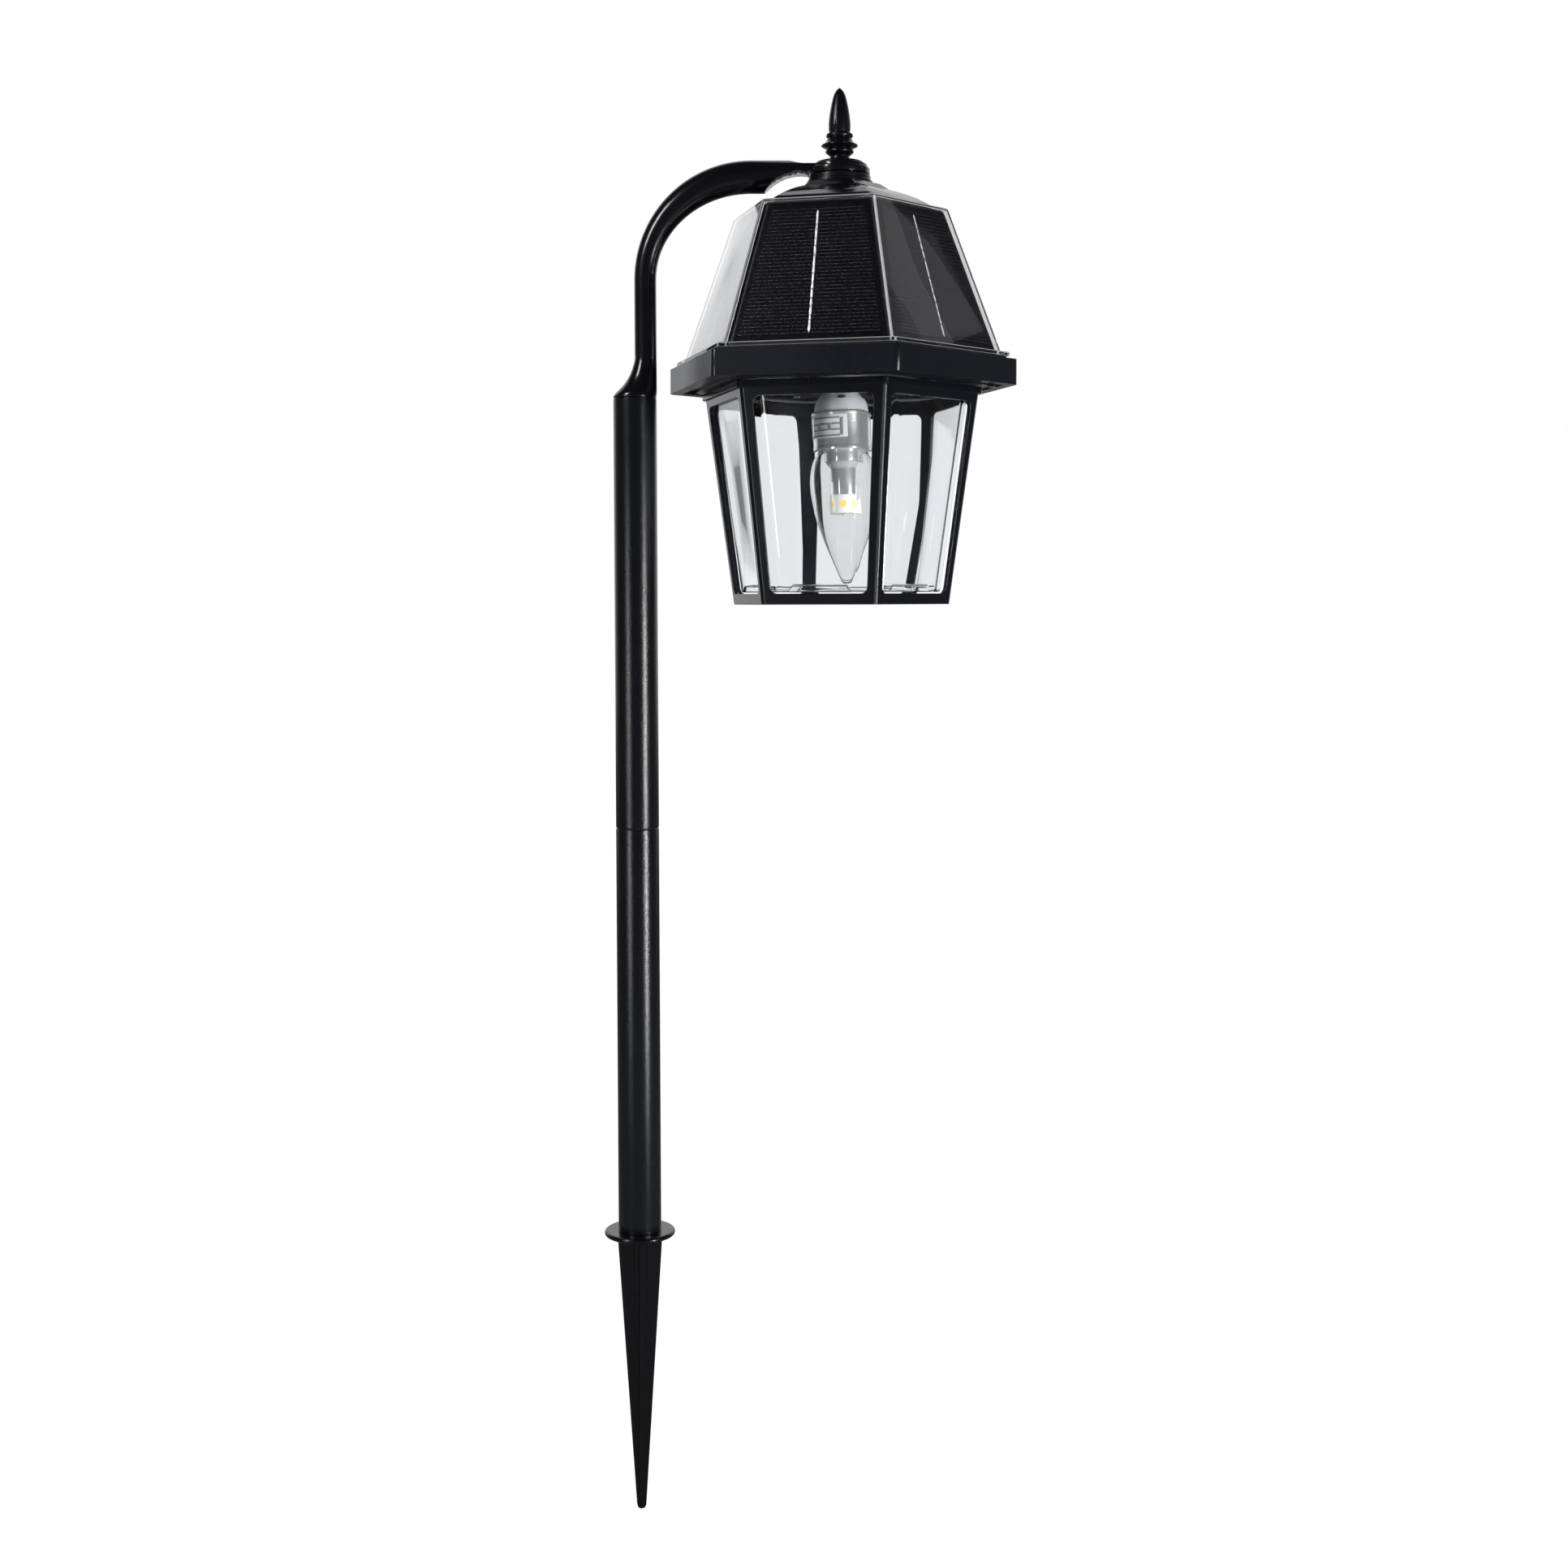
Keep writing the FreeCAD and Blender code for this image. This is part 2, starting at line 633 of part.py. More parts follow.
def roof_core():
    """Black inner pyramid that the panels are bonded to, with six screw bosses in its skirt."""
    skirt_top = cover_bottom - 1.0
    top = core_top
    outer = inset_hex(core_depth, skirt_top, top)
    skirt = hex_solid(core_skirt_radius, ceiling_top, core_skirt_radius, skirt_top)
    inner = inset_hex(core_depth + core_wall, skirt_top, top - core_wall)
    skirt_inner = hex_solid(core_skirt_radius - core_wall / SQ3_2, ceiling_top - 1,
                            core_skirt_radius - core_wall / SQ3_2, skirt_top)
    bosses = ring_of(rod(boss_radius, ceiling_top, ceiling_top + boss_height, boss_reach), SIDES, 30)
    web_end = core_skirt_radius * SQ3_2 - core_wall / 2
    webs = ring_of(block(boss_reach, -boss_web / 2, ceiling_top, web_end, boss_web / 2,
                         ceiling_top + boss_height), SIDES, 30)
    hole = rod(screw_radius + push_gap, ceiling_top - 1, ceiling_top + screw_length + 1, boss_reach)
    holes = ring_of(hole, SIDES, 30)
    shell = fuse([outer.cut(inner), skirt.cut(skirt_inner)] + bosses + webs)
    shell = shell.cut(rod(stud_radius + push_gap, top - core_wall - 1, top + 1))
    shell = shell.cut(fuse(holes))
    for k in range(SIDES):
        height = top - lead_hole_drop
        exit_hole = rod(lead_hole_radius, height - core_wall, height + core_wall)
        exit_hole.rotate(V(0, 0, height), V(0, 1, 0), 90)
        exit_hole.translate(V(cover_at(height) * SQ3_2 - core_depth - core_wall / 2, 0, 0))
        shell = shell.cut(spun(exit_hole, 30 + 60 * k))
    return in_lantern(shell)


def panel_sheet(k, front, thick, side_margin, lower_margin, upper_margin):
    """A flat trapezoid that lies front under the cover's face k, its sides in from the corners."""
    lower_z = cover_bottom + lower_margin
    upper_z = cover_top - upper_margin
    wedge = inset_hex(front, lower_z, upper_z).cut(inset_hex(front + thick, lower_z - 1, upper_z + 1))
    less = (front + thick) / math.cos(tilt) / SQ3_2
    corners = []
    for z in (lower_z - 5, upper_z + 5):
        radius = cover_at(z) - less
        corners.append((radius * 2, z, radius - 2 * side_margin, radius))
    wires = []
    for far, z, width, radius in corners:
        near = radius * SQ3_2 - 8
        half = width / 2
        wires.append(Part.makePolygon([V(near, -half, z), V(near + 30, -half, z), V(near + 30, half, z),
                                       V(near, half, z), V(near, -half, z)]))
    face_block = spun(Part.makeLoft(wires, True, True), 30 + 60 * k)
    return in_lantern(wedge.common(face_block).removeSplitter())


def solar_panel(k):
    return panel_sheet(k, cover_wall + panel_gap + cell_thickness, panel_thickness - cell_thickness,
                       panel_margin, 0.4, panel_top_margin)


def solar_cell(k):
    return panel_sheet(k, cover_wall + panel_gap, cell_thickness, panel_margin + cell_border,
                       0.4 + cell_border, panel_top_margin + cell_border)


# ---------------------------------------------------------------- rim and ceiling
def rim():
    """Channel-shaped hexagonal frame: an outer wall, a ledge inward at the foot and a shelf on top."""
    body = round_hex_prism(rim_radius, rim_corner, rim_bottom, rim_top)
    room = hex_solid(rim_radius - rim_wall / SQ3_2, ceiling_bottom, rim_radius - rim_wall / SQ3_2,
                     rim_top - rim_wall)
    body = body.cut(room)
    body = body.cut(hex_solid(rim_hole, rim_bottom - 1, rim_hole, ceiling_bottom + 1))
    body = body.cut(hex_solid(rim_shelf_hole, rim_top - rim_wall - 1, rim_shelf_hole, rim_top + 1))
    channel_out = rim_radius - rim_channel_inset
    channel_in = channel_out - rim_channel_width
    channel = hex_solid(channel_out, rim_bottom - 1, channel_out, rim_bottom + rim_channel_depth)
    channel = channel.cut(hex_solid(channel_in, rim_bottom - 1, channel_in, rim_bottom + rim_channel_depth))
    body = body.cut(channel)
    hole = rod(screw_radius + screw_play, rim_bottom - 1, ceiling_bottom + 1, boss_reach)
    body = body.cut(fuse(ring_of(hole, SIDES, 30)))
    for side in (0, 180):
        slot = block(slot_reach, -slot_width / 2, rim_bottom - 1, slot_reach + slot_depth, slot_width / 2,
                     ceiling_bottom + 1)
        body = body.cut(spun(slot, side))
    return in_lantern(body.removeSplitter())


def cover_gasket():
    """Thin foam seal between the rim's shelf and the cover's foot."""
    lower_z = rim_top
    upper_z = cover_bottom - cover_flange_height
    inner_radius = rim_shelf_hole + gasket_inset
    outer_radius = inner_radius + gasket_width
    outer = hex_solid(outer_radius, lower_z, outer_radius, upper_z)
    return in_lantern(outer.cut(hex_solid(inner_radius, lower_z, inner_radius, upper_z)))


def ceiling_plate():
    """The lantern's ceiling: it carries the socket and the battery and closes the roof from below."""
    plate = hex_solid(ceiling_radius, ceiling_bottom, ceiling_radius, ceiling_top)
    plate = plate.cut(rod(socket_outer + 1.2, ceiling_bottom - 1, ceiling_top + 1))
    window = block(-cell_length / 2 - 1, battery_side - cell_radius, ceiling_bottom - 1,
                   cell_length / 2 + 1, battery_side + cell_radius, ceiling_top + 1)
    hole = rod(screw_radius + screw_play, ceiling_bottom - 1, ceiling_top + 1, boss_reach)
    plate = plate.cut(window).cut(fuse(ring_of(hole, SIDES, 30)))
    bore = small_screw_radius + push_gap
    foot = ceiling_bottom - 1
    for x in (-door_screw_x, door_screw_x):
        plate = plate.cut(rod(bore, foot, ceiling_top + 1, x, battery_side))
    for x in (-board_screw_x, board_screw_x):
        plate = plate.fuse(rod(standoff_radius, ceiling_top, ceiling_top + standoff, x, -board_side))
        plate = plate.cut(rod(bore, foot, ceiling_top + standoff + 1, x, -board_side))
    return in_lantern(plate.removeSplitter())


def battery_door():
    """Flat door under the ceiling that closes the battery's compartment, with three finger grooves."""
    under = ceiling_bottom - door_thickness
    door = block(-door_length / 2, battery_side - door_width / 2, under,
                 door_length / 2, battery_side + door_width / 2, ceiling_bottom)
    upright = [e for e in door.Edges if abs(e.tangentAt(e.FirstParameter).z) > 0.9]
    door = door.makeFillet(door_corner, upright)
    for x in (-door_screw_x, door_screw_x):
        door = door.cut(rod(small_screw_radius + push_gap, under, ceiling_bottom, x, battery_side))
    for x in (-6, 0, 6):
        door = door.cut(block(x - 1, battery_side - 7, under - 1, x + 1, battery_side + 7, under + 0.5))
    return in_lantern(door)


def door_screws():
    under = ceiling_bottom - door_thickness
    shank = door_thickness + ceiling_thickness - push_gap
    return in_lantern(group([screw(small_screw_radius, shank, small_head_radius, small_head_height, x,
                                   battery_side, under) for x in (-door_screw_x, door_screw_x)]))


def roof_screws():
    shank = screw_length + ceiling_thickness + rim_wall
    one = screw(screw_radius, shank, screw_head_radius, screw_head_height, boss_reach, 0, rim_bottom)
    return in_lantern(group(ring_of(one, SIDES, 30)))


# ---------------------------------------------------------------- inside the roof
def battery_cell():
    """One round lithium cell with its raised positive button."""
    half = cell_length / 2
    can = Part.makeCylinder(cell_radius, cell_length, V(-half, battery_side, cell_axis), V(1, 0, 0))
    button = Part.makeCylinder(2.8, button_height, V(half, battery_side, cell_axis), V(1, 0, 0))
    return in_lantern(can.fuse(button).removeSplitter())


def battery_holder():
    """Open-bottomed box over the cell."""
    long_half = cell_length / 2 + holder_end_gap
    side_half = cell_radius + holder_gap
    roof = cell_axis + cell_radius + holder_gap
    near = battery_side - side_half
    far = battery_side + side_half
    outer = block(-long_half - holder_wall, near - holder_wall, ceiling_top,
                  long_half + holder_wall, far + holder_wall, roof + holder_wall)
    inner = block(-long_half, near, ceiling_top - 1, long_half, far, roof)
    return in_lantern(outer.cut(inner).cut(rod(2.0, cell_axis, cell_axis + 40, 0, battery_side)))


def battery_contacts():
    """A flat spring plate at each end of the cell."""
    ends = []
    half = contact_half_width
    for side, reach in ((-1, cell_length / 2), (1, cell_length / 2 + button_height)):
        inside = side * (reach + 0.1)
        outside = side * (cell_length / 2 + holder_end_gap - 0.1)
        ends.append(block(min(inside, outside), battery_side - half, cell_axis - half,
                          max(inside, outside), battery_side + half, cell_axis + half))
    return in_lantern(group(ends))


def control_board():
    board = block(-board_length / 2, -board_side - board_width / 2, ceiling_top + standoff,
                  board_length / 2, -board_side + board_width / 2, board_top)
    for x in (-board_screw_x, board_screw_x):
        board = board.cut(rod(small_screw_hole, ceiling_top, board_top + 1, x, -board_side))
    return in_lantern(board)


def board_parts():
    """The charger's choke, its chips, a capacitor and the wire header."""
    z = board_top
    choke = rod(4.5, z, z + 5, -12, -board_side)
    chips = [block(x, -board_side - 3, z, x + 5, -board_side + 3, z + 1.6) for x in (-3, 5)]
    capacitor = rod(3.2, z, z + 8, 15, -board_side + 6)
    header = block(-8, -board_side + 7, z, 6, -board_side + 12, z + 5)
    return in_lantern(group([choke, capacitor, header] + chips))


def board_screws():
    z = board_top
    screws = []
    for x in (-board_screw_x, board_screw_x):
        head = rod(small_head_radius, z, z + small_head_height, x, -board_side)
        shank = rod(small_screw_radius, z - board_thickness - standoff + 0.6, z, x, -board_side)
        screws.append(head.fuse(shank).removeSplitter())
    return in_lantern(group(screws))


def panel_leads():
    """A pair of wires from the panel nearest the board down to the board's header."""
    z = board_top + 5
    wires = []
    for x in (-4, 2):
        wires.append(lead([(x, -board_side + 9.5, z), (x, -board_side + 9.5, z + 22), (x - 2, -42, z + 50),
                           (x - 1, -38, cover_top - 20)], wire_radius))
    return in_lantern(group(wires))


def battery_leads():
    """A pair of wires from the top of the battery's holder over to the board's header."""
    top = cell_axis + cell_radius + holder_gap + holder_wall
    z = board_top + 5
    header = -board_side + 9.5
    wires = []
    for x in (-1.0, 5.0):
        wires.append(lead([(x, battery_side, top), (x, battery_side, top + 20), (x - 1, 0, top + 28),
                           (x - 1.5, header, z + 20), (x - 1.5, header, z)], wire_radius))
    return in_lantern(group(wires))


def lamp_leads():
    """A pair of wires from the header to the socket's tags."""
    z = board_top
    wires = []
    for x in (-6.5, 0.8):
        wires.append(lead([(x, -board_side + 12, z + 2.5), (x, -board_side + 19, z + 2.5),
                           (x + 0.4, -14.5, z + 12), (x + 0.8, -11.5, z + 20)], wire_radius))
    return in_lantern(group(wires))


# ---------------------------------------------------------------- latches
def latch():
    """A thumb slide over the slot in the rim's ledge, its tab down through the slot."""
    half = slot_width / 2
    under = ceiling_bottom + seat_gap
    plate = block(slot_reach - 0.6 + latch_travel, -half + 1, under,
                  slot_reach + slot_depth + 1.5, half - 1, under + latch_thickness)
    tab_inside = slot_reach + latch_travel + latch_play
    tab_outside = tab_inside + 2.4
    tab_foot = rim_bottom - latch_grip
    tab = block(tab_inside, -half + 2, tab_foot, tab_outside, half - 2, under + 1)
    grip = block(tab_inside - 1.0, -half + 2.6, tab_foot, tab_outside, half - 2.6, rim_bottom - 0.4)
    return plate.fuse(tab).fuse(grip).removeSplitter()


# ---------------------------------------------------------------- cage and liner
def cage_at(z):
    """The cage's outer corner radius at a height."""
    return cage_bottom_radius + (cage_top_radius - cage_bottom_radius) * (z - cage_bottom) / cage_height


def cage_hex(less, lower_z, upper_z, cut=0.0):
    return hex_solid(cage_at(lower_z) - less, lower_z, cage_at(upper_z) - less, upper_z, cut)


def cage_window(k):
    """One window with round corners, narrower at the foot, cut square to side k."""
    upper_z = cage_top - rail_top
    lower_z = cage_bottom + rail_bottom
    upper_half = cage_at(upper_z) / 2 - post_top
    lower_half = cage_at(lower_z) / 2 - post_bottom
    corners = [V(0, -lower_half, lower_z), V(0, lower_half, lower_z), V(0, upper_half, upper_z),
               V(0, -upper_half, upper_z)]
    solid = Part.Face(Part.makePolygon(corners + corners[:1])).extrude(V(60, 0, 0))
    along = [e for e in solid.Edges if abs(e.tangentAt(e.FirstParameter).x) > 0.9]
    solid = solid.makeFillet(window_corner, along)
    solid.translate(V(40, 0, 0))
    return spun(solid, 30 + 60 * k)


def cage():
    """Tapered six-sided frame with a window in each side, a lip round the top and a foot inward."""
    less = cage_wall / SQ3_2
    collar_top = cage_top + cage_collar
    lip_radius = cage_top_radius + cage_lip
    mouth_radius = cage_top_radius - less
    rebate_radius = cage_top_radius - cage_rebate
    shell = cage_hex(0, cage_bottom, cage_top, cage_corner)
    lip = hex_solid(lip_radius, cage_top - cage_lip_height, lip_radius, collar_top, cage_corner)
    inner = cage_hex(less, cage_bottom + cage_wall, cage_top)
    mouth = hex_solid(mouth_radius, cage_top - 0.01, mouth_radius, collar_top + 1)
    rebate = hex_solid(rebate_radius, cage_top, rebate_radius, collar_top + 1)
    foot_hole = cage_hex(less + cage_foot, cage_bottom - 1, cage_bottom + cage_wall + 1)
    body = shell.fuse(lip).cut(inner).cut(mouth).cut(rebate).cut(foot_hole)
    for k in range(SIDES):
        body = body.cut(cage_window(k))
    return body.removeSplitter()


def liner_feet(less, top, bottom, inset):
    """Six wedges that lift the floor along the middle of each side, so that it stands on its corners."""
    wedges = []
    half = liner_at(bottom) / 2 - liner_corner - liner_foot_slope - inset
    wide = half + liner_foot_slope
    for k in range(SIDES):
        outline = [V(0, -wide, bottom), V(0, wide, bottom), V(0, half, top), V(0, -half, top)]
        wedge = Part.Face(Part.makePolygon(outline + outline[:1])).extrude(V(60, 0, 0))
        wedge.translate(V(liner_at(bottom) * SQ3_2 - less, 0, 0))
        wedges.append(spun(wedge, 30 + 60 * k))
    return wedges


def liner_at(z):
    return cage_at(z) - liner_inset


def liner():
    """Clear tapered cup with bevelled corners, a stepped floor and a flange that sits on the cage."""
    foot = cage_bottom + liner_floor_lift
    wall = liner_wall / SQ3_2
    outer = hex_solid(liner_at(foot), foot, liner_at(cage_top), cage_top, liner_corner)
    inner = hex_solid(liner_at(foot) - wall, foot + liner_wall, liner_at(cage_top) - wall, cage_top,
                      liner_corner - 0.6)
    for wedge in liner_feet(liner_foot_width, foot + liner_step, foot - 1, 0):
        outer = outer.cut(wedge)
    for wedge in liner_feet(liner_foot_width + liner_wall, foot + liner_step + liner_wall, foot - 1,
                            -liner_wall * 0.6):
        inner = inner.cut(wedge)
    flange_radius_out = cage_top_radius - cage_rebate - liner_flange_gap
    flange = hex_solid(flange_radius_out, cage_top, flange_radius_out, cage_top + liner_flange, cage_corner)
    mouth = hex_solid(liner_at(cage_top) - wall, cage_top - 1, liner_at(cage_top) - wall,
                      cage_top + liner_flange + 1, liner_corner - 0.6)
    return outer.cut(inner).fuse(flange).cut(mouth).removeSplitter()


# ---------------------------------------------------------------- lamp
def lamp_socket():
    """Tube with a closed top that takes the lamp's screw cap, and a flange on top of the ceiling."""
    z = socket_foot
    tube = rod(socket_outer, z, z + socket_height)
    bore = rod(screw_cap_radius + fit_gap, z - 1, z + socket_height - socket_end)
    flange_foot = ceiling_top + 0.9
    flange = rod(socket_outer + socket_flange, flange_foot, flange_foot + socket_flange_height)
    tip_hole = rod(contact_radius + push_gap, z, z + socket_height + 1)
    return in_lamp(tube.fuse(flange).cut(bore).cut(tip_hole).removeSplitter())


def socket_contact():
    """The sprung centre contact in the socket's closed end."""
    z = socket_foot + socket_height
    leaf = rod(4.5, z, z + 0.8)
    pin = rod(contact_radius, lamp_drop + screw_cap_length + 1.8, z)
    return in_lamp(leaf.fuse(pin).removeSplitter())


def lamp_cap():
    """The lamp's screw cap: rounded thread ridges on a shell, with the solder contact on top."""
    pitch = 2.54
    base = lamp_drop
    moves = [[(screw_cap_radius - 0.5, base)]]
    z = base + 1.2
    moves.append([(screw_cap_radius - 0.5, z)])
    for _ in range(4):
        moves.append([(screw_cap_radius, z + pitch / 2), (screw_cap_radius - 0.5, z + pitch)])
        z = z + pitch
    moves.append([(screw_cap_radius - 0.5, z + 0.6)])
    moves.append([(2.6, z + 1.8)])
    moves.append([(2.4, z + 2.4)])
    moves.append([(0, z + 2.9)])
    return in_lamp(turned((0, base), *moves))


def lamp_housing():
    """White round-shouldered housing of the driver, with the switch's slot in its front."""
    z = housing_foot
    body = turned((0, z), [(15.9, z)], [(15.6, z + 3.2), (13.5, z + 7.6)],
                  [(11.2, z + 10.4), (housing_top_radius, lamp_drop)], [(0, lamp_drop)])
    recess = switch_box(switch_slot_width / 2, switch_slot_height / 2, switch_floor, 20)
    return in_lamp(body.cut(recess))


def switch_box(half_width, half_height, near, far):
    """A box in front of the lamp's axis, from near to far, at the switch's height."""
    return block(-half_width, -far, switch_height - half_height,
                 half_width, -near, switch_height + half_height)


def mode_switch():
    """The small black slider in the slot."""
    half = switch_slot_width / 2 - switch_travel - switch_play
    return in_lamp(switch_box(half, switch_slot_height / 2 - switch_play, switch_floor + switch_play,
                              switch_reach))


def lamp_tube():
    """The bright metal sleeve under the housing, a cup with its floor at the neck."""
    outer = collar_tube_radius
    inner = outer - tube_wall
    z = tube_foot
    return in_lamp(turned((0, z), [(outer - tube_edge, z)], [(outer, z + tube_edge)],
                          [(outer, housing_foot - tube_edge)], [(outer - tube_edge, housing_foot)],
                          [(inner, housing_foot)], [(inner, z + tube_floor)], [(0, z + tube_floor)]))


def lamp_label():
    """The blank rating label wrapped round part of the sleeve."""
    outer = collar_tube_radius
    ring = rod(outer + label_thickness, tube_foot + label_gap_low, housing_foot - label_gap_high)
    ring = ring.cut(rod(outer, tube_foot, housing_foot))
    part = Part.makeCylinder(outer + 1, collar_tube_height, V(0, 0, tube_foot), UP, label_angle)
    part.rotate(V(0, 0, 0), UP, 180)
    return in_lamp(ring.common(part))


def lamp_neck():
    z = neck_foot
    return in_lamp(turned((0, z), [(neck_radius, z)], [(neck_radius, tube_foot)], [(0, tube_foot)]))


def heat_cone():
    return in_lamp(turned((0, cone_foot), [(column_radius, cone_foot)], [(neck_radius - 0.6, neck_foot)],
                          [(0, neck_foot)]))


def led_column():
    z = column_foot
    return in_lamp(turned((0, z), [(column_radius, z)], [(column_radius, cone_foot)], [(0, cone_foot)]))


def led_board():
    """The short white drum that carries the chips, with a small boss under it."""
    drum = turned((0, board_foot), [(board_radius - 0.5, board_foot)], [(board_radius, board_foot + 0.5)],
                  [(board_radius, column_foot)], [(0, column_foot)])
    boss = turned((0, board_foot - 1.4), [(1.6, board_foot - 1.0), (2.2, board_foot)], [(0, board_foot)])
    return in_lamp(drum.fuse(boss).removeSplitter())


def led_chips():
    middle = (board_foot + column_foot) / 2
    chip = block(board_radius - 0.3, -chip_width / 2, middle - chip_height / 2,
                 board_radius - 0.3 + chip_thickness, chip_width / 2, middle + chip_height / 2)
    chips = [c.cut(rod(board_radius, middle - 5, middle + 5)) for c in ring_of(chip, chip_count, -94.0)]
    return in_lamp(group(chips))


def glass_profile(less):
    """The torpedo's outline, less inside its outer skin."""
    top = tube_foot
    tip = top - glass_length + less
    swell = glass_radius - less
    return turned((0, top), [(glass_neck_radius - less, top)],
                  [(0.905 * swell, top - 7.0), (swell, top - 19.0), (0.90 * swell, top - 36.0),
                   (0.72 * swell, top - 48.0), (0.455 * swell, top - 61.5),
                   (0.27 * swell, top - 70.5 + less / 2), (0.13 * swell, tip + 1.0), (0, tip)])


def lamp_glass():
    """Clear torpedo envelope, open where it is bonded to the sleeve."""
    return in_lamp(glass_profile(0).cut(glass_profile(glass_wall)))


# ---------------------------------------------------------------- all the parts
def write_parts():
    parts = {
        "ground_stake": ground_stake(),
        "lower_pole": pole_tube(flange_thickness, lower_pole_length),
        "pole_coupler": pole_coupler(),
        "upper_pole": pole_tube(pole_joint + coupler_lip, upper_pole_length),
        "hook_arm": hook_arm(),
        "hub_cap": hub_cap(),
        "finial": finial(),
        "swivel_collar": swivel_collar(),
        "hanger_stud": hanger_stud(),
        "stud_washer": stud_washer(),
        "roof_dome": roof_dome(),
        "cover_lens": cover_lens(),
        "cover_gasket": cover_gasket(),
        "roof_core": roof_core(),
        "rim": rim(),
        "ceiling_plate": ceiling_plate(),
        "roof_screws": roof_screws(),
        "battery_door": battery_door(),
        "door_screws": door_screws(),
        "battery_cell": battery_cell(),
        "battery_holder": battery_holder(),
        "battery_contacts": battery_contacts(),
        "control_board": control_board(),
        "board_parts": board_parts(),
        "board_screws": board_screws(),
        "panel_leads": panel_leads(),
        "battery_leads": battery_leads(),
        "lamp_leads": lamp_leads(),
        "latch_right": in_lantern(latch()),
        "latch_left": in_lantern(spun(latch(), 180)),
        "cage": in_lantern(cage()),
        "liner": in_lantern(liner()),
        "lamp_socket": lamp_socket(),
        "socket_contact": socket_contact(),
        "lamp_cap": lamp_cap(),
        "lamp_housing": lamp_housing(),
        "mode_switch": mode_switch(),
        "lamp_tube": lamp_tube(),
        "lamp_label": lamp_label(),
        "lamp_neck": lamp_neck(),
        "heat_cone": heat_cone(),
        "led_column": led_column(),
        "led_board": led_board(),
        "led_chips": led_chips(),
        "lamp_glass": lamp_glass(),
    }
    for k in range(SIDES):
        parts[f"solar_panel_{k + 1}"] = solar_panel(k)
        parts[f"solar_cell_{k + 1}"] = solar_cell(k)
    os.makedirs("parts", exist_ok=True)
    for name, shape in parts.items():
        shape.exportStep(f"parts/{name}.step")
        print(f"{name:18s} solids {len(shape.Solids)} valid {shape.isValid()} volume {shape.Volume:.1f}")


write_parts()
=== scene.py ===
import math

import bmesh
import bpy
import numpy as np
from bpy.props import FloatProperty, FloatVectorProperty, IntProperty, PointerProperty
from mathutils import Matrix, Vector


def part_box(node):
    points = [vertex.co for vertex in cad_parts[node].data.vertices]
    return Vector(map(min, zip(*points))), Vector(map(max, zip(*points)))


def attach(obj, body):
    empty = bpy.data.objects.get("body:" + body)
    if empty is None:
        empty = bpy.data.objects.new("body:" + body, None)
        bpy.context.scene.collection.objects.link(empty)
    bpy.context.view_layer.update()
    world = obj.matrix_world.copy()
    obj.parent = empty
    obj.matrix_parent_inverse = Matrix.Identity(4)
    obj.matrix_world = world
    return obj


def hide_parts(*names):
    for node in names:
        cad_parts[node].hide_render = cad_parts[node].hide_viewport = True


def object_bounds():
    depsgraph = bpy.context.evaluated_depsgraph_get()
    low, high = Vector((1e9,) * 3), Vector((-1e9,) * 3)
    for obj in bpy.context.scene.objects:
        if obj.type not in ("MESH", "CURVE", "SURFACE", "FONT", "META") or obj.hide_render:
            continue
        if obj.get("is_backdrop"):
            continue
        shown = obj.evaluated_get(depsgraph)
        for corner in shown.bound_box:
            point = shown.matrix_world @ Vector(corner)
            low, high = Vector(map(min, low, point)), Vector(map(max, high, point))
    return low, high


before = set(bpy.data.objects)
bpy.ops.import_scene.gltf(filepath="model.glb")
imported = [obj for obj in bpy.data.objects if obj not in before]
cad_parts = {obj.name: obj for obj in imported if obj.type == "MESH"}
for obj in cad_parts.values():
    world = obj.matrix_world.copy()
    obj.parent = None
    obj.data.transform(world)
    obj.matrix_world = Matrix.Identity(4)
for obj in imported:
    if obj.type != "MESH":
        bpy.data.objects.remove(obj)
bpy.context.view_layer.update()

bl_info = {
    "name": "Solar garden light",
    "version": (1, 0, 0),
    "blender": (4, 5, 0),
    "location": "3D View > Sidebar > Garden Light",
    "description": "Builds the look of a hanging six-sided solar lantern on a garden pole",
    "category": "Add Mesh",
}

MM = 0.001
SIDES = 6
ROOT3_2 = math.cos(math.radians(30))


def middle(node):
    low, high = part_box(node)
    return (low + high) / 2


LANTERN_AXIS = (middle("hub_cap").x, middle("hub_cap").y)
LANTERN_TURN = math.radians(-14.1)
PANEL_GAP = 0.8 * MM
CELL_THICKNESS = 0.3 * MM
COVER_HOLE = 14.2 * MM
SAME_POINT = 2e-7
JOINED_POINT = 2e-5
EDGE_ANGLE = math.radians(28)
RUBBED_EDGE = 0.5 * MM

# name, place, aim, width and height in metres, watts
LIGHTS = (
    ("strip_right", (1.15, -0.965, 0.13), (0.0, 0.0, 0.28), (0.13, 0.62), 14.0),
    ("fill_left", (-0.90, -1.05, 0.20), (0.0, 0.0, 0.28), (0.30, 0.56), 3.2),
    ("card_right", (0.519, 0.025, 0.7875), (0.1728, -0.0814, 0.5748), (0.082, 0.22), 0.015),
    ("bend_left", (-0.76, -0.66, 1.14), (0.0, 0.0, 0.61), (0.20, 0.40), 4.6),
)


# ------------------------------------------------------------------ sizes and colours
def length(name, description, default):
    return FloatProperty(name=name, description=description, default=default * MM, min=0.0,
                         precision=5, unit="LENGTH")


def colour(name, description, default):
    return FloatVectorProperty(name=name, description=description, default=default, size=3,
                               subtype="COLOR", min=0.0, max=1.0)


class PoleSizes(bpy.types.PropertyGroup):
    """Sizes of the two pole tubes."""
    radius: length("Radius", "Outer radius of the pole's tubes", 12.7)
    wall: length("Wall", "Wall of the pole's tubes", 0.9)
    edge: length("Edge", "Rounding of the tubes' cut ends", 0.55)


